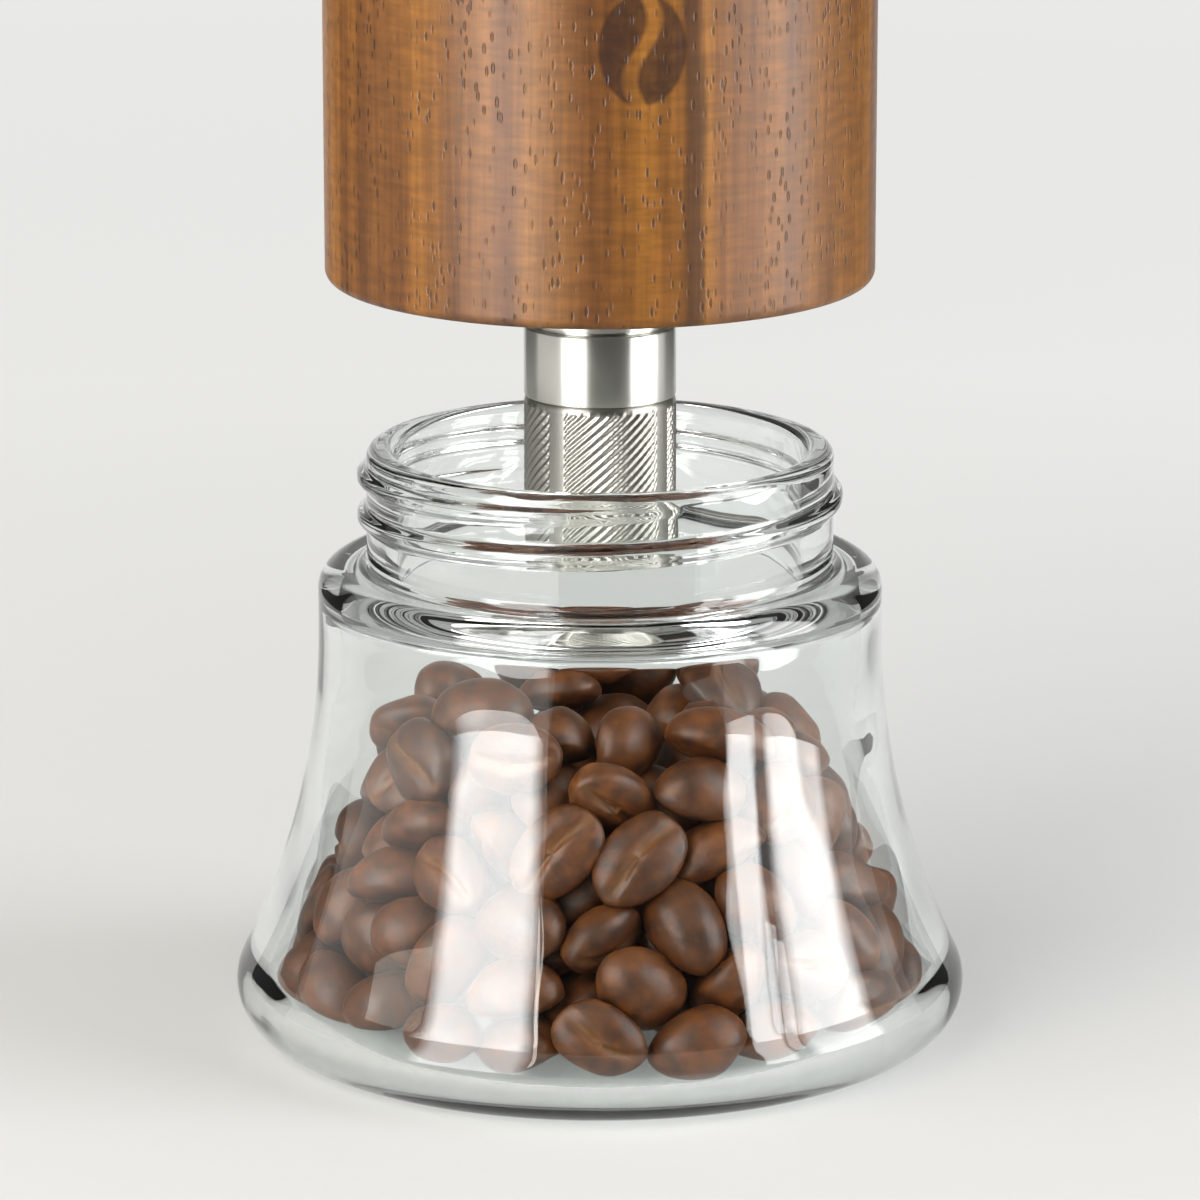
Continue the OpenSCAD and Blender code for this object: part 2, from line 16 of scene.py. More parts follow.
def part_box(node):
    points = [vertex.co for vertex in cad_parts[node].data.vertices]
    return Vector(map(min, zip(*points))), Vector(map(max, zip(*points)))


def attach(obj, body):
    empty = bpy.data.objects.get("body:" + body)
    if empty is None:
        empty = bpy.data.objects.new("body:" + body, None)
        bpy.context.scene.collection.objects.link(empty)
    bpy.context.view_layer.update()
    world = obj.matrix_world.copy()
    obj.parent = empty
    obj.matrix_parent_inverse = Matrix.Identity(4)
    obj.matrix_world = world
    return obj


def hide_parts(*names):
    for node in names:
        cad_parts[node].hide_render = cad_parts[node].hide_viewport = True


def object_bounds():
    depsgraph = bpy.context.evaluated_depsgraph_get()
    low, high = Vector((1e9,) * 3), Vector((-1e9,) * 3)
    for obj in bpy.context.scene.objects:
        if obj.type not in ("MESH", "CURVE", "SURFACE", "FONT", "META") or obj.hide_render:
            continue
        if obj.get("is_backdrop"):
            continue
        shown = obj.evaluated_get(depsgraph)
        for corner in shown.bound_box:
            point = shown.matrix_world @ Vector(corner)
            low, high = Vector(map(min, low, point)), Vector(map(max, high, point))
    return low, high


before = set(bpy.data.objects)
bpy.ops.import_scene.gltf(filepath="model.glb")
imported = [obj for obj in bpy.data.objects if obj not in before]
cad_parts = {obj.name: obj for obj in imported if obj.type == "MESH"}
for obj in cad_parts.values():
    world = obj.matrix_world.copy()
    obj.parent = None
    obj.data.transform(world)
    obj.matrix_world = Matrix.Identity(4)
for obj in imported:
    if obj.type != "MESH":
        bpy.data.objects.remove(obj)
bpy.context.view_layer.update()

mm = 0.001

# %% [markdown]
# ## The camera
# A product picture is taken from far away with a long lens, so that upright edges stay
# upright. The camera looks down by 14 degrees onto the gap between the jar and the body.
# It is made first, because everything else is judged through it.

# %% Set up the camera
aim = Vector((0, 0, 48.4 * mm))
camera_distance = 718 * mm
looking_down = math.radians(14)
back = Vector((0, -math.cos(looking_down), math.sin(looking_down)))

camera_data = bpy.data.cameras.new("long_lens")
camera_data.lens = 195
camera_data.sensor_width = 36
camera_data.clip_start, camera_data.clip_end = 0.01, 20
camera = bpy.data.objects.new("camera", camera_data)
camera.location = aim + back * camera_distance
camera.rotation_mode = "QUATERNION"
camera.rotation_quaternion = (-back).to_track_quat("-Z", "Y")
bpy.context.scene.collection.objects.link(camera)
bpy.context.scene.camera = camera
bpy.context.scene.view_settings.view_transform = "Standard"
print("the camera stands", round(camera.location.z / mm), "mm above the floor")

# %% [markdown]
# ## Colours and nodes
# A colour picked from a chart is an sRGB value, but light adds up in linear values, so one
# function turns the first into the second. Another adds a shader node and plugs it in, so
# that every material below stays short.

# %% Helpers for materials
def linear(hex_code):
    """An sRGB colour such as "8B5C34" as linear red, green, blue and alpha."""
    channels = [int(hex_code[i:i + 2], 16) / 255 for i in (0, 2, 4)]
    turned = [c / 12.92 if c <= 0.04045 else ((c + 0.055) / 1.055) ** 2.4 for c in channels]
    return (*turned, 1)


def connect(node, links):
    """Gives inputs of a node another node, a socket or a plain value."""
    for name, value in links.items():
        if isinstance(value, bpy.types.Node):
            value = next(output for output in value.outputs if output.enabled)
        if isinstance(value, bpy.types.NodeSocket):
            node.id_data.links.new(value, node.inputs[name])
        else:
            node.inputs[name].default_value = value


def add(tree, kind, links=None, stops=None, **settings):
    """Adds a node and connects it. The stops fill a colour ramp, its two end stops first."""
    made = tree.nodes.new("ShaderNode" + kind)
    for name, value in settings.items():
        setattr(made, name, value)
    connect(made, links or {})
    for i, (place, value) in enumerate(stops or []):
        ramp = made.color_ramp.elements
        stop = ramp[i] if i < 2 else ramp.new(place)
        stop.position, stop.color = place, value
    return made


def per(*sizes):
    """The texture scale for features of those sizes in millimetres."""
    return tuple(1 / (size * mm) if size else 0 for size in sizes)


def new_finish(name, **values):
    """A material of that name, with its node tree and its shader set to the values."""
    made = bpy.data.materials.new(name)
    made.use_nodes = True
    shader = made.node_tree.nodes["Principled BSDF"]
    connect(shader, {socket.replace("_", " "): value for socket, value in values.items()})
    return made, made.node_tree, shader


def grey(value):
    """A neutral ramp colour."""
    return (value, value, value, 1)


# %% [markdown]
# ## Turning on a lathe
# Nearly every piece of a coffee mill is round: glass is blown into a turned mould, wood and
# steel are turned on a lathe. So one function spins an outline round an upright axis. It is
# given closed outlines with a real wall, which is what glass needs to bend light. A shape
# rule may change the radius by angle, and that is how threads, knurls and hexagons are cut.

# %% The lathe
def arc(centre_r, centre_z, radius, start, end, steps=8):
    """Points on an arc, with its angles in degrees."""
    angles = [math.radians(start + (end - start) * i / steps) for i in range(steps + 1)]
    return [(centre_r + radius * math.cos(a), centre_z + radius * math.sin(a)) for a in angles]


def ease(corners, size=0.3, steps=3):
    """Rounds the corners of a closed outline. Points on the axis stay."""
    eased = []
    for i, corner in enumerate(corners):
        here, before = Vector(corner), Vector(corners[i - 1])
        after = Vector(corners[(i + 1) % len(corners)])
        if corner[0] == 0:
            eased.append(corner)
            continue
        start = here + (before - here).normalized() * min(size, (before - here).length * 0.45)
        end = here + (after - here).normalized() * min(size, (after - here).length * 0.45)
        for t in [k / steps for k in range(steps + 1)]:
            eased.append(tuple((1 - t) ** 2 * start + 2 * t * (1 - t) * here + t * t * end))
    return eased


def new_piece(name, points, faces, crease=32):
    """A mesh object from points in millimetres, smooth but for edges sharper than crease degrees."""
    mesh = bpy.data.meshes.new(name)
    mesh.from_pydata([tuple(p) for p in np.array(points) * mm], [], faces)
    mesh.validate()
    mesh.shade_smooth()
    mesh.set_sharp_from_angle(angle=math.radians(crease))
    piece = bpy.data.objects.new(name, mesh)
    bpy.context.scene.collection.objects.link(piece)
    return piece


def tube_faces(around, rows):
    """Faces between rings of so many points, one ring after another."""
    return [
        [low + i, low + (i + 1) % around, low + around + (i + 1) % around, low + around + i]
        for low in range(0, rows * around, around) for i in range(around)]


def turn(name, outline, steps=192, shape=None, centre=(0, 0), crease=32):
    """Spins a closed outline of (radius, height), in millimetres, round an upright axis."""
    angles = np.arange(steps) * 2 * math.pi / steps
    points, rings = [], []
    for radius, height in outline:
        if radius == 0:
            rings.append([len(points)] * steps)
            points.append((0, 0, height))
            continue
        r = np.full(steps, float(radius)) if shape is None else shape(radius, height, angles)
        rings.append(list(range(len(points), len(points) + steps)))
        points.extend(zip(r * np.cos(angles), r * np.sin(angles), [height] * steps))
    faces = []
    for low, high in zip(rings, rings[1:] + rings[:1]):
        for k in range(steps):
            m = (k + 1) % steps
            loop = [low[k], low[m], high[m], high[k]]
            face = [v for i, v in enumerate(loop) if v not in loop[:i]]
            if len(face) > 2:
                faces.append(face)
    piece = new_piece(name, points, faces, crease)
    piece.location = (centre[0] * mm, centre[1] * mm, 0)
    return piece


def fit(piece, surface, body, slot, *nodes):
    """Gives a piece its surface, lets it ride on its body and stand for its CAD nodes."""
    piece.data.materials.append(surface)
    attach(piece, body)
    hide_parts(*nodes)
    print(piece.name, len(piece.data.polygons), "faces")


def place(node):
    """Where a CAD node is, in millimetres: its lowest and highest corner."""
    low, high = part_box(node)
    return low / mm, high / mm


# %% [markdown]
# ## Clear moulded glass
# The jar is soda-lime glass, pressed and blown into a steel mould, with an IOR of 1.52. Iron
# in the sand leaves a faint grey-green tint. Light passes such thin walls in reality, while
# a path tracer would make them cast a dark shadow, so shadow rays take a transparent path.

# %% Mix the glass
glass, tree, shader = new_finish(
    "soda_lime_glass_moulded", Base_Color=linear("F8FBFA"), Roughness=0.0, IOR=1.52,
    Transmission_Weight=1.0)
spot = add(tree, "TexCoord").outputs["Object"]
ripple_mm = 14           # the mould's surface leaves slow ripples this far apart
ripple = add(tree, "TexNoise", {"Vector": spot, "Scale": 1 / (ripple_mm * mm), "Detail": 1.0})
ripple_bump = add(tree, "Bump", {"Height": ripple, "Strength": 0.12, "Distance": 0.4 * mm})
connect(shader, {"Normal": ripple_bump})
in_shadow = add(tree, "LightPath").outputs["Is Shadow Ray"]
clear = add(tree, "BsdfTransparent", {"Color": linear("CCD0CE")})
shadowless = add(tree, "MixShader", {0: in_shadow, 1: shader, 2: clear})
connect(tree.nodes["Material Output"], {"Surface": shadowless})
print("glass mixed")

# %% [markdown]
# ## The jar
# The jar is one closed solid: a bell that flares to a heavy heel, a rounded shoulder and an
# upright neck with a screw thread. The flare is a single arc, upright at the shoulder and
# tangent to the heel. The thread is a ridge that climbs 4.45 mm in a turn and fades at both
# ends, so it is a change of the neck's radius by height and angle. The inside is left a
# little uneven, as blown glass is, because that is what breaks the light into dark lines.

# %% Measure the jar
jar_high = place("glass_jar")[1]
jar_h, foot_r = jar_high.z, jar_high.x
neck_r, neck_wall, neck_len = 25.7, 3.2, 13.1
heel_r, heel_in, base_t, jar_wall = 5.5, 4.2, 2.4, 2.6
shoulder_r, shoulder_round, shoulder_t = 31.1, 2.7, 3.0
pitch, thread_h, thread_drop = 4.45, 1.0, 8.6
thread_from, thread_to, thread_fade = 100, 650, 60         # in degrees
thread_half, thread_crest = 1.4, 0.35
fillet = 1.2

shoulder_z = jar_h - neck_len
flare_top = shoulder_z - shoulder_round - 4.2
flare_a = shoulder_r - (foot_r - heel_r)
flare_b = flare_top - heel_r
flare_r = (flare_a ** 2 + flare_b ** 2 - heel_r ** 2) / (2 * (heel_r - flare_a))
flare_x = shoulder_r + flare_r
flare_deg = math.degrees(math.asin(flare_b / (flare_r + heel_r)))
inner_r = flare_r + jar_wall
inner_drop = flare_top - base_t - heel_in
inner_x = flare_x - math.sqrt((inner_r + heel_in) ** 2 - inner_drop ** 2)
inner_deg = math.degrees(math.asin(inner_drop / (inner_r + heel_in)))
under = shoulder_z - shoulder_t
neck_in = neck_r - neck_wall
wave_deep, wave_mm = 0.16, 11          # how uneven the blown inside is, and how long its waves are
print("the flare's radius is", round(flare_r, 1), "mm")


# %% Curve the wall and roll the thread
def flare(radius, start, end, steps=48):
    """The bell's wall, at angles below its upright end."""
    points = arc(flare_x, flare_top, radius, start, end, steps)
    return [(2 * flare_x - r, 2 * flare_top - z) for r, z in points]


def straight(radius, low, high, spacing):
    """An upright line with a point every so many millimetres."""
    count = max(1, round(abs(high - low) / spacing))
    return [(radius, low + (high - low) * i / count) for i in range(1, count)]


def thread(radius, height, angles):
    """The neck's radius with its thread: a rounded ridge, lower and narrower at both ends."""
    r = np.full(len(angles), float(radius))
    for lap in (0, 360):
        turned = np.degrees(angles) + lap
        ends = np.clip(np.minimum(turned - thread_from, thread_to - turned) / thread_fade, 0, 1)
        middle = jar_h - thread_drop + (turned - thread_from) / 360 * pitch
        half = thread_half * (0.4 + 0.6 * ends)
        side = np.clip((half - abs(height - middle)) / (half - thread_crest), 0, 1)
        r = np.maximum(r, radius + thread_h * ends * side ** 2 * (3 - 2 * side))
    return r


def glass_shape(radius, height, angles):
    """The thread on the neck's outside, and slow waves on the blown inside."""
    if abs(radius - neck_r) < 0.01:
        return thread(radius, height, angles)
    wall_r = flare_x - math.sqrt(max(0, inner_r ** 2 - (flare_top - height) ** 2))
    in_bell = base_t + 1 < height < under and radius < wall_r + 0.3
    if in_bell or abs(radius - neck_in) < 0.01:
        spots = [Vector((3.2 * math.cos(a), 3.2 * math.sin(a), height / wave_mm)) for a in angles]
        return radius + wave_deep * np.array([noise.noise(spot) for spot in spots])
    return np.full(len(angles), float(radius))


print("the thread climbs", round((thread_to - thread_from) / 360 * pitch, 1), "mm in all")

# %% Blow the jar
outside = (
    [(0, 0.7), (12, 0.7), (22, 0.6), (27, 0.3), (30, 0.05)]
    + arc(foot_r - heel_r, heel_r, heel_r, -90, flare_deg, 24)
    + flare(flare_r, flare_deg, 0)[1:]
    + straight(shoulder_r, flare_top, shoulder_z - shoulder_round, 1)
    + arc(shoulder_r - shoulder_round, shoulder_z - shoulder_round, shoulder_round, 0, 90, 16)
    + arc(neck_r + fillet, shoulder_z + fillet, fillet, 270, 180, 8)
    + straight(neck_r, shoulder_z + fillet, jar_h - fillet, 0.22)
    + arc(neck_r - fillet, jar_h - fillet, fillet, 0, 90, 10))
inside = (
    arc(neck_in + fillet, jar_h - fillet, fillet, 90, 180, 10)
    + straight(neck_in, jar_h - fillet, under + fillet, 1)
    + arc(neck_in + fillet, under + fillet, fillet, 180, 270, 8)
    + arc(shoulder_r - jar_wall - 2, under - 2, 2, 90, 0, 12)
    + flare(inner_r, 0, inner_deg)
    + arc(inner_x, base_t + heel_in, heel_in, inner_deg, -90, 16)[1:]
    + [(20, base_t + 0.15), (10, base_t + 0.35), (0, base_t + 0.4)])
jar = turn("jar_glass", outside + inside, steps=384, shape=glass_shape, crease=50)
fit(jar, glass, "jar", "clear_glass", "glass_jar")

# %% [markdown]
# ## Turned and oiled hardwood
# The body is a hardwood of the walnut or acacia kind, turned, sanded and oiled. Its grain
# runs upright. Four things make it read as wood: slow bands of lighter and darker brown
# where the growth rings leave the surface, one dark streak of heartwood, a faint crosswise
# ripple that woodworkers call figure, and pores, which are short dark dashes a third of a
# millimetre wide. It was sanded on the lathe, so its oiled gloss is smeared upwards like
# that of turned steel, and only the pores break it. The bean on the front is burned in, so
# it is a darker patch.

# %% Grow the wood
body_low, body_high = place("wooden_body")
body_r = body_high.x
wood, tree, shader = new_finish(
    "walnut_brown_hardwood_turned_and_oiled", Roughness=0.45, IOR=1.42,
    Anisotropic=0.75, Anisotropic_Rotation=0.25)
spot = add(tree, "TexCoord").outputs["Object"]
xyz = add(tree, "SeparateXYZ", {0: spot})


def stretched(across_mm, along_mm, detail=3.0, rough=0.55):
    """Noise with features so wide across the grain and so long along it."""
    scaled = add(tree, "Mapping", {"Vector": spot, "Scale": per(across_mm, across_mm, along_mm)})
    return add(tree, "TexNoise", {"Vector": scaled, "Scale": 1.0, "Detail": detail, "Roughness": rough})


rings = add(tree, "ValToRGB", {"Fac": stretched(5.5, 160)}, stops=[
    (0.28, linear("553012")), (0.72, linear("9C6625")),
    (0.42, linear("704418")), (0.56, linear("86551E"))])
fibres = add(tree, "ValToRGB", {"Fac": stretched(0.8, 26, 4.0)}, [(0.3, grey(0.62)), (0.7, grey(1.12))])
figure = add(tree, "ValToRGB", {"Fac": stretched(4.2, 0.9, 2.0)}, [(0.36, grey(0.7)), (0.64, grey(1.1))])
grown = add(tree, "Mix", {0: 0.75, 6: rings, 7: fibres}, data_type="RGBA", blend_type="MULTIPLY")
brown = add(tree, "Mix", {0: 0.7, 6: grown, 7: figure}, data_type="RGBA", blend_type="MULTIPLY")

streak_at, streak_half, wander_mm = 9.9 * mm, 1.5 * mm, 1.8
wander = add(tree, "Math", {
    0: stretched(30, 24), 1: wander_mm * mm, 2: xyz.outputs["X"]}, operation="MULTIPLY_ADD")
beside = add(tree, "Math", {0: wander, 1: streak_at + wander_mm / 2 * mm}, operation="SUBTRACT")
off_streak = add(tree, "Math", {0: beside}, operation="ABSOLUTE")
in_streak = add(tree, "MapRange", {
    "Value": off_streak, "From Min": streak_half, "From Max": 0.4 * mm, "To Max": 0.8},
    interpolation_type="SMOOTHSTEP")
in_front = add(tree, "Math", {0: xyz.outputs["Y"], 1: 0.0}, operation="LESS_THAN")
heart = add(tree, "Math", {0: in_streak, 1: in_front}, operation="MULTIPLY")
streaked = add(tree, "Mix", {0: heart, 6: brown, 7: linear("3A2110")}, data_type="RGBA")
print("grain, figure and heartwood streak laid")

# %% Open its pores
pore_wide, pore_long = 0.8, 2.3      # a cell with one pore in it, which fills a small part of the cell
cells = add(tree, "Mapping", {"Vector": spot, "Scale": per(pore_wide, pore_wide, pore_long)})
pores = add(tree, "TexVoronoi", {"Vector": cells, "Scale": 1.0, "Randomness": 1.0})
pore = add(tree, "ValToRGB", {"Fac": pores}, stops=[(0.16, grey(1)), (0.3, grey(0))])
patchy = add(tree, "ValToRGB", {"Fac": stretched(7, 22)}, stops=[(0.36, grey(0)), (0.56, grey(1))])
open_pore = add(tree, "Math", {0: pore, 1: patchy}, operation="MULTIPLY")
pore_tint = add(tree, "Math", {0: open_pore, 1: 0.7}, operation="MULTIPLY")
porous = add(tree, "Mix", {0: pore_tint, 6: streaked, 7: linear("2E1A0D")}, data_type="RGBA")
print("a pore in every", pore_wide, "by", pore_long, "mm")

# %% Burn in the bean
mark_x, mark_z, mark_wide, mark_tall = 4.4, 114.5, 4.7, 6.1
mark = add(tree, "Mapping", {
    "Vector": spot, "Scale": per(mark_wide, 0, mark_tall),
    "Location": (-mark_x / mark_wide, 0, -mark_z / mark_tall)})
mark_xyz = add(tree, "SeparateXYZ", {0: mark})
from_middle = add(tree, "VectorMath", {0: mark}, operation="LENGTH")
oval = add(tree, "MapRange", {"Value": from_middle, "From Min": 1.0, "From Max": 0.93})
upward = add(tree, "Math", {0: mark_xyz.outputs["Z"], 1: 3.0}, operation="MULTIPLY")
bend = add(tree, "Math", {0: upward}, operation="SINE")
beside_split = add(tree, "Math", {0: bend, 1: -0.28, 2: mark_xyz.outputs["X"]}, operation="MULTIPLY_ADD")
off_split = add(tree, "Math", {0: beside_split}, operation="ABSOLUTE")
halves = add(tree, "MapRange", {"Value": off_split, "From Min": 0.12, "From Max": 0.23})
uneven = add(tree, "MapRange", {"Value": stretched(1.6, 1.6), "To Min": 0.5, "To Max": 1.0})
shape_of_bean = add(tree, "Math", {0: oval, 1: halves}, operation="MULTIPLY")
on_front = add(tree, "Math", {0: shape_of_bean, 1: in_front}, operation="MULTIPLY")
burned = add(tree, "Math", {0: on_front, 1: uneven}, operation="MULTIPLY")
marked = add(tree, "Mix", {0: burned, 6: porous, 7: linear("2F1C16")}, data_type="RGBA")
connect(shader, {"Base Color": marked})
print("the bean is", 2 * mark_wide, "by", 2 * mark_tall, "mm")

# %% Raise the fibres and oil the wood
raised = add(tree, "Math", {0: stretched(0.5, 14, 3.0), 1: 0.35}, operation="MULTIPLY")
sunk = add(tree, "Math", {0: burned, 1: 0.6, 2: open_pore}, operation="MULTIPLY_ADD")
relief = add(tree, "Math", {0: raised, 1: sunk}, operation="SUBTRACT")
wood_bump = add(tree, "Bump", {"Height": relief, "Strength": 0.5, "Distance": 0.12 * mm})
sanded = add(tree, "MapRange", {"Value": stretched(3, 30), "To Min": 0.38, "To Max": 0.52})
around = add(tree, "Tangent", direction_type="RADIAL", axis="Z")
connect(shader, {"Normal": wood_bump, "Roughness": sanded, "Tangent": around})
print("the wood is oiled")

# %% [markdown]
# ## The wooden body
# The body is a tube: a wide bore below for the collar, a narrower one above for the hopper
# and a seat for the steel rim. Both outer edges are rounded, the way sandpaper leaves them.

# %% Turn the body
collar_r, core_r, seat_r, flange_top, rim_depth, edge_r = 28.2, 25.0, 27.0, 18.0, 3.0, 1.3
low, high = body_low.z, body_high.z
body_outline = (
    [(collar_r + 0.3, low)]
    + arc(body_r - edge_r, low + edge_r, edge_r, -90, 0, 10)
    + arc(body_r - edge_r, high - edge_r, edge_r, 0, 90, 10)
    + [(seat_r, high), (seat_r, high - rim_depth), (core_r, high - rim_depth), (core_r, low + flange_top),
       (collar_r, low + flange_top), (collar_r, low + 0.3)])
body = turn("body_wood", body_outline, steps=256)
fit(body, wood, "mill_body", "oiled_wood", "wooden_body")

# %% [markdown]
# ## Satin stainless steel
# Stainless steel is a slightly warm grey metal, and satin means that fine abrasive has left
# parallel lines. On a turned piece the lines run round it. They are only hundredths of a
# millimetre apart, too fine to show, so they are drawn a quarter of a millimetre apart.
# They smear each reflection along the axis and keep its sides sharp, which the shader does
# with anisotropy. A metal's colour is its reflection, so it needs no other pattern.

# %% Draw the satin steels
wear_mm = 6              # how wide the patches are that handling has polished


def turned_steel(name, colour, roughness, lines=0.25, depth=0.15):
    """Steel with lines round the piece's own upright axis."""
    made, tree, shader = new_finish(
        name, Base_Color=linear(colour), Metallic=1.0, Roughness=roughness,
        Anisotropic=0.9, Anisotropic_Rotation=0.25)
    spot = add(tree, "TexCoord").outputs["Object"]
    flat = add(tree, "VectorMath", {0: spot, 1: (1, 1, 0)}, operation="MULTIPLY")
    reach = add(tree, "VectorMath", {0: flat}, operation="LENGTH")
    xyz = add(tree, "SeparateXYZ", {0: spot})
    ring = add(tree, "CombineXYZ", {"X": reach, "Y": xyz.outputs["Z"]})
    cut = add(tree, "TexNoise", {
        "Vector": ring, "Scale": 1 / (lines * mm), "Detail": 3.0}, noise_dimensions="2D")
    bump = add(tree, "Bump", {"Height": cut, "Strength": depth, "Distance": 0.02 * mm})
    wear = add(tree, "TexNoise", {"Vector": spot, "Scale": 1 / (wear_mm * mm), "Detail": 2.0})
    gloss = add(tree, "MapRange", {"Value": wear, "To Min": roughness * 0.8, "To Max": roughness * 1.25})
    around = add(tree, "Tangent", direction_type="RADIAL", axis="Z")
    connect(shader, {"Normal": bump, "Roughness": gloss, "Tangent": around})
    return made


stem_steel = turned_steel("stainless_steel_turned_satin", "CDCCC5", 0.3)
lid_steel = turned_steel("stainless_steel_spun_and_brushed", "CFCEC9", 0.3, lines=0.3, depth=0.25)
bright_steel = turned_steel("steel_turned_bright", "DAD9D5", 0.16, depth=0.08)
print("satin steels drawn")

# %% [markdown]
# ## The stem
# Below the body the shaft wears three turned pieces: a spacer, a smooth sleeve and the
# knurled adjuster. Each is a tube with eased edges. A shallow neck between spacer and sleeve
# gives the thin dark line that separates them.

# %% Turn the spacer and the sleeve
bore = 3.06
spacer_low, spacer_high = place("stem_spacer")
sleeve_low, sleeve_high = place("stem_sleeve")
spacer_r, sleeve_r = spacer_high.x, sleeve_high.x
neck_cut, neck_h = 0.5, 0.45
neck_out, neck_top = spacer_r - neck_cut, spacer_low.z + neck_h
spacer = turn("stem_spacer_turned", ease([
    (bore, spacer_low.z), (neck_out, spacer_low.z), (neck_out, neck_top), (spacer_r, neck_top),
    (spacer_r, spacer_high.z), (bore, spacer_high.z)], 0.12))
fit(spacer, stem_steel, "burr_group", "satin_steel", "stem_spacer")
sleeve = turn("stem_sleeve_turned", ease([
    (bore, sleeve_low.z), (sleeve_r, sleeve_low.z), (sleeve_r, sleeve_high.z),
    (bore, sleeve_high.z)], 0.28))
fit(sleeve, stem_steel, "burr_group", "satin_steel", "stem_sleeve")

# %% [markdown]
# ## The knurled adjuster
# A knurl is rolled into the steel by two hardened wheels whose teeth slope opposite ways.
# Here one wheel bites deeper, so ridges that rise to the right dominate and the others only
# notch them. The ridges are 1.1 mm apart, which is large enough to be real geometry: the
# radius rises and falls with angle and height. Four upright stripes stay smooth, as index
# marks for the fingers.

# %% Knurl the adjuster
adjuster_low, adjuster_high = place("adjuster_knob")
knurl_r = adjuster_high.x
ridges = 44
slant = 1.15             # turns of the pattern's phase for each unit of height over circumference
knurl_deep, knurl_notch = 0.28, 0.04
stripe_angle, stripe_half, stripe_fade = math.radians(-125.0), 1.0, 0.25
plain_end, row_h = 0.7, 0.13         # no knurl so near the ends, and a row of points so often


def knurl(radius, height, angles):
    """The adjuster's radius with its knurl and its four smooth stripes."""
    if radius < knurl_r - 0.1 or not adjuster_low.z + plain_end < height < adjuster_high.z - plain_end:
        return np.full(len(angles), float(radius))
    along = (height - adjuster_low.z) / knurl_r
    main = abs(((angles * ridges - along * ridges * slant) / (2 * math.pi)) % 1 - 0.5) * 2
    other = abs(((angles * ridges + along * ridges * slant) / (2 * math.pi)) % 1 - 0.5) * 2
    cut = knurl_deep * (1 - np.clip(main * 1.25, 0, 1)) + knurl_notch * np.clip(other * 3 - 2, 0, 1)
    from_stripe = abs((angles - stripe_angle + math.pi / 4) % (math.pi / 2) - math.pi / 4) * knurl_r
    knurled = np.clip((from_stripe - stripe_half) / stripe_fade, 0, 1)
    return radius - np.where(knurled > 0, knurled * cut, 0) - 0.1 * (1 - knurled)


knurl_steel = turned_steel("stainless_steel_rolled_knurl", "A9A7A0", 0.42, depth=0.1)
low, high = adjuster_low.z, adjuster_high.z
adjuster_outline = (
    [(bore, low), (knurl_r - 0.55, low), (knurl_r - 0.15, low + 0.3), (knurl_r, low + plain_end - 0.05)]
    + straight(knurl_r, low + plain_end, high - plain_end, row_h)
    + [(knurl_r, high - plain_end + 0.05), (knurl_r - 0.12, high - 0.2), (knurl_r - 0.3, high)]
    + [(bore, high)])
adjuster = turn("adjuster_knurled", adjuster_outline, steps=528, shape=knurl, crease=60)
fit(adjuster, knurl_steel, "adjuster", "knurled_steel", "adjuster_knob")

# %% [markdown]
# ## Lid, hub and nuts
# The lid is spun sheet steel, gently domed, with a rolled edge and a plug that drops into
# the rim. The hub carries it on a shoulder. The nuts start as hexagon bar, and a lathe has
# taken off their corners, so their radius is the smaller of a hexagon and a cone.

# %% Spin the lid
lid_low, lid_high = place("lid")
lid_r, lid_t, plug_r, skirt_t, skirt_h, hub_r = lid_high.x, 1.2, 24.0, 1.2, 5.0, 7.0
lid_z = lid_low.z + skirt_h
dome_r = lid_r ** 2 / (2 * 1.8)
dome_z = lid_z + 4.4 - dome_r
brim, inside_r = lid_r - 1.2, plug_r - skirt_t


def on_dome(radius, sphere):
    """A point on the dome at that distance from the axis."""
    return (radius, dome_z + math.sqrt(sphere ** 2 - radius ** 2))


brim_z = on_dome(brim, dome_r)[1] - 1.2
groove_low, groove_high = lid_low.z + 1.5, lid_low.z + 2.9
lid_outline = (
    [on_dome(hub_r + (brim - hub_r) * i / 24, dome_r) for i in range(25)]
    + arc(brim, brim_z, 1.2, 80, 0, 8)
    + [(lid_r, lid_z + 0.15), (lid_r - 0.15, lid_z), (lid_r - lid_t, lid_z)]
    + [on_dome(lid_r - 1.8, dome_r - lid_t), on_dome(plug_r, dome_r - lid_t)]
    + [(plug_r, groove_high), (plug_r - 0.5, groove_high), (plug_r - 0.5, groove_low)]
    + [(plug_r, groove_low), (plug_r, lid_low.z + 0.2), (plug_r - 0.2, lid_low.z), (inside_r, lid_low.z)]
    + [on_dome(inside_r - (inside_r - hub_r) * i / 12, dome_r - lid_t) for i in range(13)])
lid = turn("lid_spun", lid_outline, steps=256)
fit(lid, lid_steel, "crank", "satin_steel", "lid")

# %% Turn the hub and the nut on the crank
hub_low, hub_high = place("crank_hub")
arm_low, arm_high = place("crank_arm")
flange_low, flange_t, flange_r, stud_r, arm_t = lid_z + 4.6, 1.6, hub_high.x, 3.0, 3.0
socket_flat, socket_depth = 3.0, 13.0
socket_r = socket_flat * 2 / math.sqrt(3)


def hexagon_radius(flat, angles):
    """How far a hexagon of that half width reaches at each angle."""
    return flat / np.cos((angles + math.pi / 6) % (math.pi / 3) - math.pi / 6)


def hexagon(flat, cone_top):
    """A shape rule for hexagon bar of that half width, below a height."""
    def shape(radius, height, angles):
        if radius <= flat * 0.97 or height > cone_top:
            return np.full(len(angles), radius)
        return np.minimum(radius, hexagon_radius(flat, angles))
    return shape


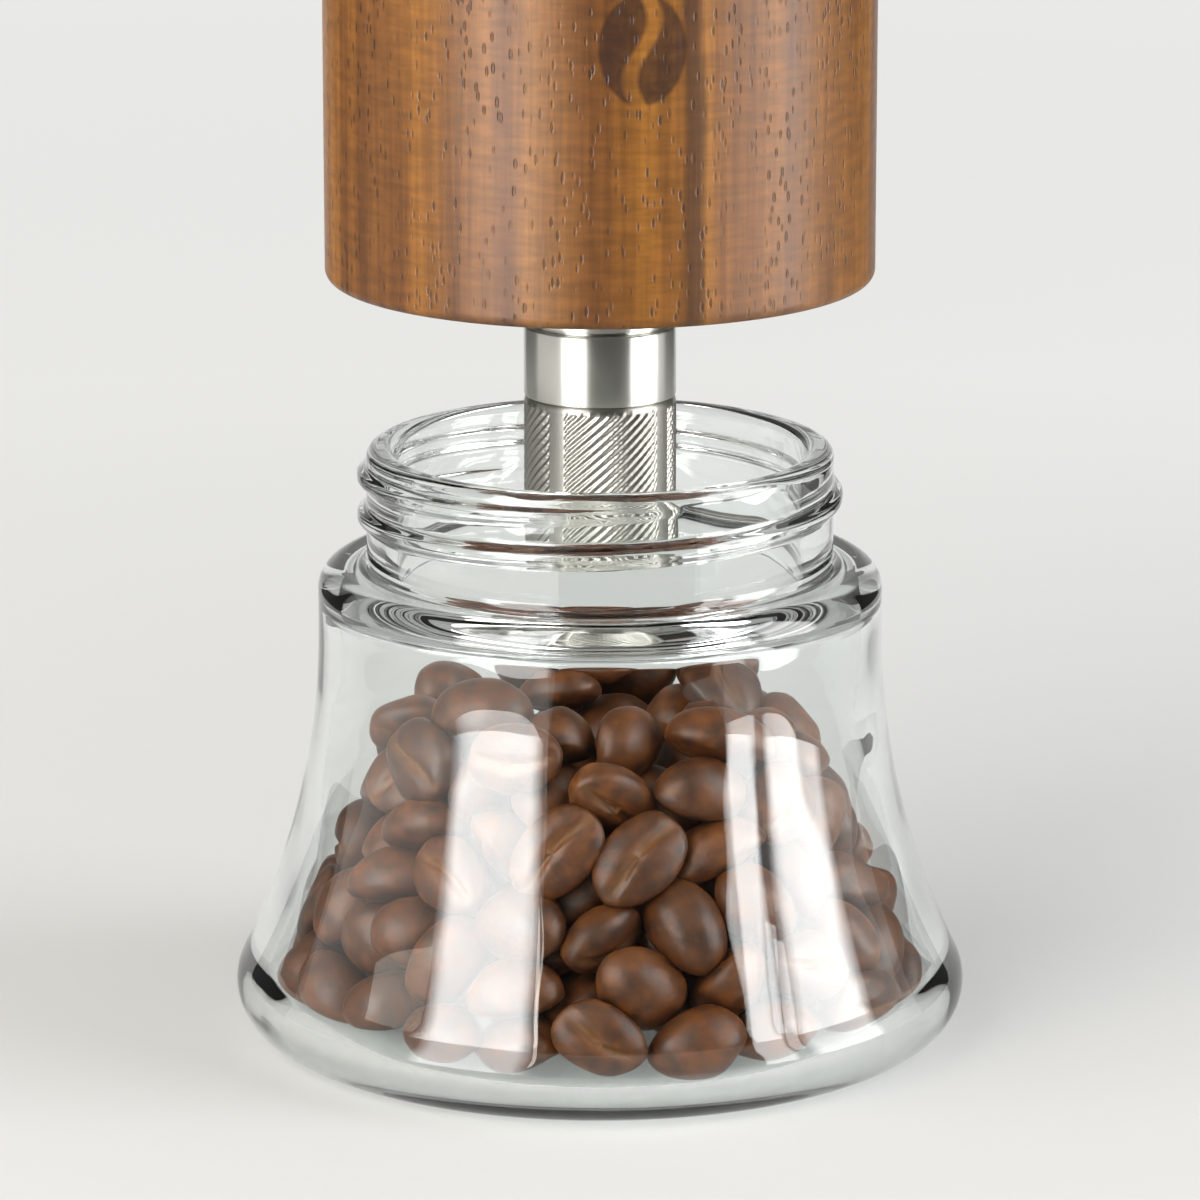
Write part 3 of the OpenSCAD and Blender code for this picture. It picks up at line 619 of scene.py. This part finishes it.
def socket(radius, height, angles):
    """The hub's hexagon socket."""
    if abs(radius - socket_r) < 0.01:
        return hexagon_radius(socket_flat, angles)
    return np.full(len(angles), float(radius))


hub_outline = [
    (socket_r, hub_low.z), (hub_r - 0.02, hub_low.z), (hub_r - 0.02, flange_low), (flange_r, flange_low),
    (flange_r, flange_low + flange_t), (hub_r, flange_low + flange_t), (hub_r, arm_low.z),
    (stud_r, arm_low.z), (stud_r, hub_high.z), (0, hub_high.z), (0, hub_low.z + socket_depth),
    (socket_r, hub_low.z + socket_depth)]
hub = turn("crank_hub_turned", hub_outline, steps=144, shape=socket)
fit(hub, lid_steel, "crank", "satin_steel", "crank_hub")

nut_flat, nut_h, corner_share, cone_h = 5.6, 4.0, 1.16, 0.45
nut_low = arm_low.z + arm_t
nut_corner, nut_top = nut_flat * corner_share, nut_low + nut_h
cap_r, cap_z = nut_flat - 0.2, nut_top - 0.1
nut_outline = (
    [(stud_r + 0.02, nut_low), (nut_flat + 0.2, nut_low), (nut_corner, nut_low + cone_h),
     (nut_corner, nut_top - cone_h), (nut_flat + 0.1, nut_top)]
    + arc(0, cap_z, cap_r, 2, 90, 16)[:-1]
    + [(0, cap_z + cap_r), (0, hub_high.z + 0.1), (stud_r + 0.02, hub_high.z + 0.1)])
nut = turn("crank_nut_domed", nut_outline, steps=144, shape=hexagon(nut_flat, nut_top))
fit(nut, bright_steel, "crank", "bright_steel", "crank_nut")

# %% [markdown]
# ## The crank arm
# The arm is flat bar, tapered and bent up twice so that the knob clears the body. A loft
# follows the bends: one rounded rectangle after another along the arm, each as wide as the
# outline and as high as the bend at that place.
# Brushing runs along the bar, so its lines are stretched in that direction.

# %% Loft the arm
arm_len = (place("knob_washer")[0].x + place("knob_washer")[1].x) / 2
hub_half, tip_half = -arm_low.x, arm_high.x - arm_len
arm_rise = arm_high.z - arm_low.z - arm_t
bend_from, bend_to = 0.22 * arm_len, 0.5 * arm_len
edge_round, soft = 0.55, 0.12        # soft is the share of the rise that each bend's start takes


def arm_half(x):
    """Half the arm's width: a taper with round ends."""
    if x < 0:
        return math.sqrt(max(0.0, hub_half ** 2 - x ** 2))
    if x > arm_len:
        return math.sqrt(max(0.0, tip_half ** 2 - (x - arm_len) ** 2))
    return hub_half + (tip_half - hub_half) * x / arm_len


def arm_lift(x):
    """How far the arm has risen at that place, with soft bends."""
    t = min(1, max(0, (x - bend_from) / (bend_to - bend_from)))
    if t < soft:
        return arm_rise * t * t / (2 * soft) / (1 - soft)
    if t > 1 - soft:
        return arm_rise * (1 - (1 - t) ** 2 / (2 * soft) / (1 - soft))
    return arm_rise * (t - soft / 2) / (1 - soft)


round_start = [-hub_half * math.cos(math.radians(a)) for a in range(4, 90, 6)]
straight_part = [arm_len * i / 80 for i in range(81)]
round_end = [arm_len + tip_half * math.sin(math.radians(a)) for a in range(6, 90, 6)]
arm_points, corner_points = [], 5
for x in round_start + straight_part + round_end:
    wide = arm_half(x)
    round_off = min(edge_round, wide * 0.45)
    middle = arm_low.z + arm_lift(x) + arm_t / 2
    for cy, cz, start in ((1, 1, 0), (-1, 1, 90), (-1, -1, 180), (1, -1, 270)):
        for k in range(corner_points):
            a = math.radians(start + 90 / (corner_points - 1) * k)
            arm_points.append((
                x, cy * (wide - round_off) + round_off * math.cos(a),
                middle + cz * (arm_t / 2 - round_off) + round_off * math.sin(a)))
section = 4 * corner_points
last = len(arm_points) - section
arm_faces = tube_faces(section, last // section)
arm_faces += [list(range(section))[::-1], list(range(last, last + section))]
arm = new_piece("crank_arm_bent", arm_points, arm_faces, crease=50)

print("the arm is", round(arm_len, 1), "mm from axis to axis and rises", round(arm_rise, 1), "mm")

# %% Brush it lengthwise
arm_steel, tree, shader = new_finish(
    "stainless_steel_bar_brushed_lengthwise", Base_Color=linear("CECDC8"), Metallic=1.0,
    Roughness=0.28, Anisotropic=0.4)
spot = add(tree, "TexCoord").outputs["Object"]
drawn = add(tree, "Mapping", {"Vector": spot, "Scale": per(30, 0.3, 0.3)})
lines = add(tree, "TexNoise", {"Vector": drawn, "Scale": 1.0, "Detail": 3.0})
line_bump = add(tree, "Bump", {"Height": lines, "Strength": 0.25, "Distance": 0.02 * mm})
line_gloss = add(tree, "MapRange", {"Value": lines, "To Min": 0.22, "To Max": 0.36})
connect(shader, {"Normal": line_bump, "Roughness": line_gloss})
fit(arm, arm_steel, "crank", "satin_steel", "crank_arm")

# %% [markdown]
# ## The knob
# The knob turns freely on a spindle with a broad head. It is the same hardwood as the body,
# swelling towards the middle and falling in again at the crown, and a steel ferrule keeps
# its foot from splitting.

# %% Turn the knob
knob_low, knob_high = place("crank_knob")
ferrule_low, ferrule_high = place("knob_ferrule")
spindle_low, spindle_high = place("knob_spindle")
washer_low, washer_high = place("knob_washer")
axis = ((ferrule_low.x + ferrule_high.x) / 2, 0)
ferrule_r, knob_r = (ferrule_high.x - ferrule_low.x) / 2, (knob_high.x - knob_low.x) / 2
washer_r, spindle_r = (washer_high.x - washer_low.x) / 2, 2.5
head_r, head_low = (spindle_high.x - spindle_low.x) / 2, spindle_high.z - 2.0
swell, crown = knob_r - ferrule_r, knob_r - ferrule_r - 2.4


def belly(u):
    """The knob's outline, from its foot at 0 to its crown at 1."""
    fall = crown * max(0, (u - 0.6) / 0.4) ** 2.6
    r = ferrule_r + swell * math.sin(math.pi / 2 * min(1, u * 1.6)) ** 1.4 - fall
    return (r, knob_low.z + (knob_high.z - knob_low.z) * u)


hole_r, crown_r, seat_r = spindle_r + 0.06, belly(1)[0], head_r + 0.4
knob_outline = (
    [(hole_r, knob_low.z), (ferrule_r - 0.6, knob_low.z)]
    + [belly(i / 48) for i in range(48)]
    + [(crown_r, knob_high.z - 0.25), (crown_r - 0.3, knob_high.z), (seat_r + 0.2, knob_high.z)]
    + [(seat_r, knob_high.z - 0.2), (seat_r, head_low - 0.3), (hole_r, head_low - 0.3)])
knob = turn("knob_wood", knob_outline, centre=axis)
fit(knob, wood, "knob", "oiled_wood", "crank_knob")

# %% Add its ferrule, spindle, washer and nut
ferrule = turn("knob_ferrule_turned", ease([
    (hole_r, ferrule_low.z), (ferrule_r, ferrule_low.z), (ferrule_r, ferrule_high.z),
    (hole_r, ferrule_high.z)], 0.4), centre=axis, steps=144)
fit(ferrule, lid_steel, "knob", "satin_steel", "knob_ferrule")
spindle = turn("knob_spindle_turned", ease([
    (0, spindle_low.z), (spindle_r, spindle_low.z), (spindle_r, head_low), (head_r, head_low),
    (head_r, spindle_high.z - 0.1), (0, spindle_high.z)], 0.5), centre=axis, steps=144)
fit(spindle, bright_steel, "crank", "bright_steel", "knob_spindle")
washer = turn("knob_washer_turned", ease([
    (spindle_r, washer_low.z), (washer_r, washer_low.z), (washer_r, washer_high.z),
    (spindle_r, washer_high.z)], 0.2), centre=axis, steps=144)
fit(washer, bright_steel, "crank", "bright_steel", "knob_washer")

low, high = place("spindle_nut")
small_flat = (high.y - low.y) / 2
small_corner = small_flat * corner_share
small_nut = turn("spindle_nut_hexagon", [
    (spindle_r, low.z), (small_flat - 0.1, low.z), (small_corner, low.z + 0.4),
    (small_corner, high.z - 0.4), (small_flat - 0.1, high.z), (spindle_r, high.z)],
    centre=axis, steps=144, shape=hexagon(small_flat, high.z))
fit(small_nut, bright_steel, "crank", "bright_steel", "spindle_nut")

# %% [markdown]
# ## Silicone, nylon, ceramic and bronze
# The pieces inside keep their CAD shape, because it is already right, and gain a surface.
# Silicone is matt. Moulded nylon is near black with the spark-eroded grain of its mould.
# Alumina ceramic is white and dry. Sintered bronze is pressed from powder, so it is grainy.

# %% Mix the hidden surfaces
def grainy(name, colour, other, grain_mm, depth, **values):
    """A surface whose colour drifts between two tones, with grains of that size."""
    made, tree, shader = new_finish(name, **values)
    spot = add(tree, "TexCoord").outputs["Object"]
    grain = add(tree, "TexNoise", {"Vector": spot, "Scale": 1 / (grain_mm * mm), "Detail": 2.0})
    drift = add(tree, "TexNoise", {"Vector": spot, "Scale": 1 / (9 * mm), "Detail": 2.0})
    tone = add(tree, "ValToRGB", {"Fac": drift}, stops=[(0.3, linear(colour)), (0.7, linear(other))])
    speck = add(tree, "ValToRGB", {"Fac": grain}, stops=[(0.3, grey(0.88)), (0.7, grey(1.0))])
    mixed = add(tree, "Mix", {0: 1.0, 6: tone, 7: speck}, data_type="RGBA", blend_type="MULTIPLY")
    bump = add(tree, "Bump", {"Height": grain, "Strength": depth, "Distance": 0.05 * mm})
    connect(shader, {"Base Color": mixed, "Normal": bump})
    return made


silicone = grainy("silicone_rubber_moulded", "E9E9E4", "E2E2DC", 0.5, 0.2, Roughness=0.55, IOR=1.41)
black_silicone = grainy(
    "black_silicone_rubber_moulded", "1C1C1C", "242424", 0.5, 0.2, Roughness=0.5, IOR=1.41)
nylon = grainy("nylon_moulded_with_eroded_grain", "1D1B19", "272422", 0.3, 0.5, Roughness=0.45, IOR=1.53)
ceramic = grainy("alumina_ceramic_sintered", "EFECE2", "E4E0D4", 0.25, 0.4, Roughness=0.6, IOR=1.76)
bronze = grainy("bronze_sintered", "A77B45", "8E6636", 0.3, 0.8, Metallic=1.0, Roughness=0.42)
oiled_steel = grainy(
    "spring_steel_oil_blackened", "4C4B4A", "3B3A3A", 0.4, 0.3, Metallic=1.0, Roughness=0.34)
print("six hidden surfaces mixed")

# %% [markdown]
# ## Pieces that stay as CAD drew them
# A CAD mesh has razor edges and corners that no machine leaves. Its points may not move, but
# a modifier may work on top of them: one welds the loose triangles together, the next
# eases the edges by a tenth of a millimetre, and that edge is what catches the light.

# %% Dress the CAD pieces
carried = {
    "threaded_collar": nylon, "burr_housing": nylon, "lower_bridge": nylon,
    "outer_burr": ceramic, "inner_burr": ceramic, "lower_bush": bronze, "upper_bush": bronze,
    "burr_retainer": lid_steel, "hopper_cup": lid_steel, "upper_bridge": lid_steel, "top_rim": lid_steel,
    "retainer_screws": bright_steel, "drive_shaft": bright_steel, "thrust_washer": bright_steel,
    "stop_screw": bright_steel,
    "shaft_circlip": oiled_steel, "burr_spring": oiled_steel, "hub_clip": oiled_steel,
    "rim_gasket": silicone, "lid_seal": black_silicone}
for name, surface in carried.items():
    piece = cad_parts[name]
    piece.data.materials.clear()
    piece.data.materials.append(surface)
    piece.data.shade_smooth()
    weld = piece.modifiers.new("weld", "WELD")
    weld.merge_threshold = 0.001 * mm
    if name not in ("burr_spring", "inner_burr", "outer_burr"):
        eased = piece.modifiers.new("eased_edges", "BEVEL")
        eased.width, eased.segments = 0.12 * mm, 2
        eased.limit_method, eased.angle_limit = "ANGLE", math.radians(40)
        eased.use_clamp_overlap = True
print(len(carried), "CAD pieces dressed")

# %% [markdown]
# ## Floor and light
# The floor is plain and pale, with no edge and almost no shadow, as on a light table: part of
# its brightness is its own. Four softboxes half way up the sky, two left and two right, light
# the sides of the object and leave its middle darker. The sky is pale at the horizon and dim
# above, because clear glass is only visible by the dark things that it bends into view.

# %% Lay the floor
floor_half = 6000
# Distances are in metres. The glow makes up for the softboxes' fading light.
glow_by_distance = [(0.03, 0.19), (0.9, 0.73), (0.12, 0.28), (0.35, 0.51)]
corners = [(x * floor_half, y * floor_half, 0) for x, y in ((-1, -1), (1, -1), (1, 1), (-1, 1))]
floor = new_piece("floor", corners, [[0, 1, 2, 3]])
floor.location.z = -0.05 * mm
paper, tree, shader = new_finish(
    "pale_paper_lit_from_below", Base_Color=linear("B0B0AF"), Roughness=0.9, Specular_IOR_Level=0.0)
away = add(tree, "VectorMath", {0: add(tree, "TexCoord").outputs["Object"]}, operation="LENGTH")
even = add(tree, "ValToRGB", {"Fac": away}, stops=[(at, grey(g)) for at, g in glow_by_distance])
glow = add(tree, "Emission", {"Color": linear("EAEAE8"), "Strength": even})
lit = add(tree, "AddShader", {0: shader, 1: glow})
connect(tree.nodes["Material Output"], {"Surface": lit})
floor.data.materials.append(paper)
floor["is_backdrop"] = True
print("a floor", 2 * floor_half * mm, "m wide")

# %% Hang the sky
world = bpy.data.worlds.new("pale_horizon_dim_sky")
world.use_nodes = True
bpy.context.scene.world = world
tree = world.node_tree
direction = add(tree, "SeparateXYZ", {0: add(tree, "TexCoord").outputs["Generated"]})
sky = add(tree, "ValToRGB", {"Fac": direction.outputs["Z"]}, stops=[
    (0.0, linear("EAEAE8")), (1.0, linear("B4B4B2")),
    (0.12, linear("E0E0DE")), (0.3, linear("A0A09E")), (0.7, linear("A8A8A6"))])
connect(tree.nodes["Background"], {"Color": sky})
print("the sky is", world.name)


# %% Stand the softboxes
def softbox(name, azimuth, wide, brightness, colour, elevation=30, tall=38, distance=0.7, mirrored=True):
    """A lit rectangle. Azimuth, width, elevation and height are in degrees, the distance in metres."""
    a, e = math.radians(azimuth), math.radians(elevation)
    toward = Vector((math.sin(a) * math.cos(e), -math.cos(a) * math.cos(e), math.sin(e)))
    light = bpy.data.lights.new(name, "AREA")
    light.shape = "RECTANGLE"
    light.size = 2 * distance * math.tan(math.radians(wide / 2))
    light.size_y = 2 * distance * math.tan(math.radians(tall / 2))
    light.energy = brightness * math.pi * light.size * light.size_y
    light.color = linear(colour)[:3]
    lamp = bpy.data.objects.new(name, light)
    lamp.location = Vector((0, 0, 60 * mm)) + toward * distance
    lamp.rotation_mode = "QUATERNION"
    lamp.rotation_quaternion = (-toward).to_track_quat("-Z", "Y")
    lamp.visible_camera = False
    lamp.visible_glossy = mirrored
    bpy.context.scene.collection.objects.link(lamp)
    print(name, "gives", round(light.energy, 1), "W")


softbox("softbox_left", -37, 32, 8, "FFFBF4")
softbox("softbox_left_far", -74, 26, 3, "FFFBF4", mirrored=False)
softbox("softbox_right", 82, 22, 8, "FBFCFF")
softbox("softbox_right_strip", 63, 7, 7, "FBFCFF")

# %% [markdown]
# ## Cards
# Upright walls seen slightly from above mirror what stands low beside the camera. So white
# cards stand on the floor there, one left and two at the right, and give wood, steel and
# glass their bright bands. They fade towards their edges, as lit paper does. A black card
# between them keeps the middle dark, and two grey ones behind calm the outer edges. Only
# mirrored and bent light meets the cards: nothing is lit or shaded by them.

# %% Stand the cards
def card(name, start, end, top, surface, distance=0.3):
    """An upright card from one azimuth to another, in degrees, as high as top, in metres."""
    edges = [Vector((math.sin(a), -math.cos(a), 0)) * distance for a in np.radians((start, end))]
    lift = Vector((0, 0, top))
    corners = [edges[0], edges[1], edges[1] + lift, edges[0] + lift]
    made = new_piece(name, [tuple(p / mm) for p in corners], [[0, 1, 2, 3]])
    made.data.materials.append(surface)
    made.visible_camera = made.visible_diffuse = made.visible_shadow = False
    made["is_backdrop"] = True


black_card = new_finish("black_flocked_card", Base_Color=linear("161616"), Roughness=1.0)[0]
grey_card = new_finish("grey_card", Base_Color=linear("505050"), Roughness=1.0)[0]
white_card, tree, shader = new_finish("white_card_in_lamplight")
card_brightness, edge_brightness = 9.5, 0.1
across = add(tree, "SeparateXYZ", {0: add(tree, "TexCoord").outputs["Generated"]})
fade = add(tree, "ValToRGB", {"Fac": across.outputs["X"]}, stops=[
    (0.0, grey(edge_brightness)), (1.0, grey(edge_brightness)), (0.14, grey(1.0)), (0.86, grey(1.0))])
shine = add(tree, "Emission", {"Color": fade, "Strength": card_brightness})
connect(tree.nodes["Material Output"], {"Surface": shine})
card("white_card_left", -58, -21, 0.3, white_card)
card("white_card_right", 64, 93, 0.3, white_card)
card("white_card_right_strip", 48, 60, 0.3, white_card)
card("black_card_front", -19, 47, 0.2, black_card, distance=0.2)
card("grey_card_back_left", -150, -108, 0.2, grey_card)
card("grey_card_back_right", 112, 150, 0.2, grey_card)
print("three white cards, a black one and two grey ones")

# %% [markdown]
# ## Coffee beans
# The beans aren't part of the grinder. They are props, and each is half an egg: round on
# one side, flat with a crooked crease on the other, where the pale skin stays. Five shapes
# are enough, because every bean lies differently. A rigid body simulation drops them into a
# form a little smaller than the jar, so they lie like real beans. The form is a barrel of
# convex bricks, because only those don't leak, with a plug where the lowered stem needs
# room. It runs a hundred times larger than life, where the solver is at its best.

# %% Roast the beans
roast, tree, shader = new_finish(
    "coffee_beans_medium_roast", Roughness=0.42, IOR=1.5, Specular_IOR_Level=0.4)
spot = add(tree, "TexCoord").outputs["Object"]
own = add(tree, "ObjectInfo").outputs["Random"]
mottle = add(tree, "TexNoise", {"Vector": spot, "Scale": 1 / (2.2 * mm), "Detail": 3.0})
skin = add(tree, "ValToRGB", {"Fac": mottle}, stops=[(0.3, linear("381C0B")), (0.7, linear("683915"))])
shade = add(tree, "MapRange", {"Value": own, "To Min": 0.72, "To Max": 1.15})
toned = add(tree, "Mix", {0: 1.0, 6: skin, 7: shade}, data_type="RGBA", blend_type="MULTIPLY")
in_crease = add(tree, "Attribute", attribute_name="crease").outputs["Fac"]
skinned = add(tree, "Mix", {0: in_crease, 6: toned, 7: linear("7A5230")}, data_type="RGBA")
wrinkle = add(tree, "TexNoise", {"Vector": spot, "Scale": 1 / (0.9 * mm), "Detail": 3.0})
bean_bump = add(tree, "Bump", {"Height": wrinkle, "Strength": 0.5, "Distance": 0.15 * mm})
connect(shader, {"Base Color": skinned, "Normal": bean_bump})
print("the beans are roasted")


# %% Shape the beans

def bean_mesh(name, size, seed, around, up):
    """A bean of length, width and height in millimetres, with so many points round it and up it."""
    points, marks = [], []
    for j in range(up + 1):
        for i in range(around):
            a, b = 2 * math.pi * i / around, math.pi * (j / up - 0.5)
            x, y, z = math.cos(b) * math.cos(a), math.cos(b) * math.sin(a), math.sin(b)
            middle = 0.1 * math.sin(3 * x + seed)
            depth = math.exp(-((y - middle) / 0.1) ** 2) * (1 - abs(x) ** 4)
            flat = z < 0
            marks.append(depth * 0.8 if flat else 0)
            z = (z * 0.42 + depth * 0.2) if flat else z * 0.9
            lump = 1 + 0.06 * noise.noise(Vector((x * 1.5 + seed * 7, y * 1.5, z * 1.5)))
            points.append((
                x * size[0] / 2 * lump, y * size[1] / 2 * lump * (1 - 0.1 * x),
                z * size[2] / 2 * 1.45 * lump))
    mesh = bpy.data.meshes.new(name)
    mesh.from_pydata([tuple(p) for p in np.array(points) * mm], [], tube_faces(around, up))
    mesh.shade_smooth()
    mesh.attributes.new("crease", "FLOAT", "POINT").data.foreach_set("value", marks)
    mesh.materials.append(roast)
    return mesh


bean_sizes = [(11.4, 8.6, 6.6), (10.6, 8.2, 6.2), (12.0, 8.4, 6.4), (11.0, 9.0, 6.8), (10.2, 7.8, 6.0)]
bean_shapes = [bean_mesh(f"bean_shape_{i}", size, i, 36, 20) for i, size in enumerate(bean_sizes)]
print(len(bean_shapes), "bean shapes")

# %% Build the form
form_wall = [                           # radius and height, from the foot to far above the neck
    (35.4, 0), (35.4, 2.8), (36.8, 6.5), (34.9, 12), (31.2, 20), (27.6, 27), (25.4, 34), (25.0, 300)]
form_sides, form_top, wall_t = 24, form_wall[-1][1], 14.0
stem_room, stem_end = 9.2, 21.0         # wider and lower than the lowered stem


def solid(name, rings):
    """A convex block through the given points, in millimetres."""
    return new_piece(name, [point for ring in rings for point in ring], [])


def circle(radius, height, sides=form_sides):
    """Points round the axis."""
    angles = [2 * math.pi * k / sides for k in range(sides + 1)]
    return [(radius * math.cos(a), radius * math.sin(a), height) for a in angles]


def build_form():
    """The jar as a barrel of convex bricks, its floor, and a plug in the place of the stem."""
    plug = [circle(stem_room - 2, stem_end), circle(stem_room, stem_end + 3), circle(stem_room, form_top)]
    ground = [circle(44, base_t + 0.3), circle(44, -10)]
    blocks = [solid("floor_block", ground), solid("stem_block", plug)]
    for (low_r, low), (high_r, high) in zip(form_wall, form_wall[1:]):
        edges = [circle(low_r, low), circle(high_r, high)]
        edges += [circle(high_r + wall_t, high), circle(low_r + wall_t, low)]
        blocks += [solid("brick", [edge[k:k + 2] for edge in edges]) for k in range(form_sides)]
    return blocks


print("the form has", form_sides * (len(form_wall) - 1), "bricks")


# %% Drop the beans into it
def drop_beans(count, frames, seed=11):
    """Where the beans come to rest, in metres, and how they lie."""
    enlarge, in_layer, first_z, layer_h, ring_r = 100, 6, 14, 9.0, 16.5
    rng = random.Random(seed)
    bpy.ops.rigidbody.world_add()
    simulation = bpy.context.scene.rigidbody_world
    simulation.substeps_per_frame, simulation.solver_iterations = 8, 10
    simulation.point_cache.frame_end = frames
    blocks, dropped = build_form(), []
    for k in range(count):
        hull = bean_mesh("hull", [s * 0.97 for s in bean_sizes[k % 5]], k % 5, 10, 6)
        bean = bpy.data.objects.new(f"dropped_{k}", hull)
        bpy.context.scene.collection.objects.link(bean)
        layer, spoke = divmod(k, in_layer)
        a = 2 * math.pi * (spoke + 0.5 * (layer % 2)) / in_layer
        start = Vector((ring_r * math.cos(a), ring_r * math.sin(a), first_z + layer_h * layer))
        bean.location = start * mm * enlarge
        bean.rotation_euler = [rng.uniform(0, 2 * math.pi) for _ in range(3)]
        dropped.append(bean)
    for piece in blocks + dropped:
        piece.scale = (enlarge,) * 3
    bpy.context.view_layer.update()
    for piece in blocks + dropped:
        bpy.context.view_layer.objects.active = piece
        bpy.ops.rigidbody.object_add(type="PASSIVE" if piece in blocks else "ACTIVE")
        piece.rigid_body.collision_shape = "CONVEX_HULL"
        piece.rigid_body.friction, piece.rigid_body.restitution = 0.3, 0.0
        piece.rigid_body.use_margin, piece.rigid_body.collision_margin = True, 0.02
    for step in range(1, frames + 1):
        bpy.context.scene.frame_set(step)
    graph = bpy.context.evaluated_depsgraph_get()
    rest = [piece.evaluated_get(graph).matrix_world.copy() for piece in dropped]
    bpy.ops.rigidbody.world_remove()
    for piece in blocks + dropped:
        bpy.data.objects.remove(piece)
    bpy.context.scene.frame_set(1)
    return [(m.translation / enlarge, m.to_quaternion()) for m in rest]


# The solver presses a few beans into the floor. Those and the highest are left out.
lowest, highest = (base_t + 2.4) * mm, 40 * mm
lying = [(where, turned) for where, turned in drop_beans(270, 135) if lowest < where.z < highest]
for k, (where, turned) in enumerate(lying):
    bean = bpy.data.objects.new(f"bean_{k}", bean_shapes[k % 5])
    bean.location = where
    bean.rotation_mode = "QUATERNION"
    bean.rotation_quaternion = turned
    bpy.context.scene.collection.objects.link(bean)
    bean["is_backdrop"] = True
print(len(lying), "beans, the highest at", round(max(where.z for where, _ in lying) / mm, 1), "mm")

# %% [markdown]
# ## Measure the size and finish
# Last comes the measure: the size of the visible model.

# %% Measure and finish
low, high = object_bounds()
print("the visible model is", [round(v / mm, 1) for v in high - low], "mm")
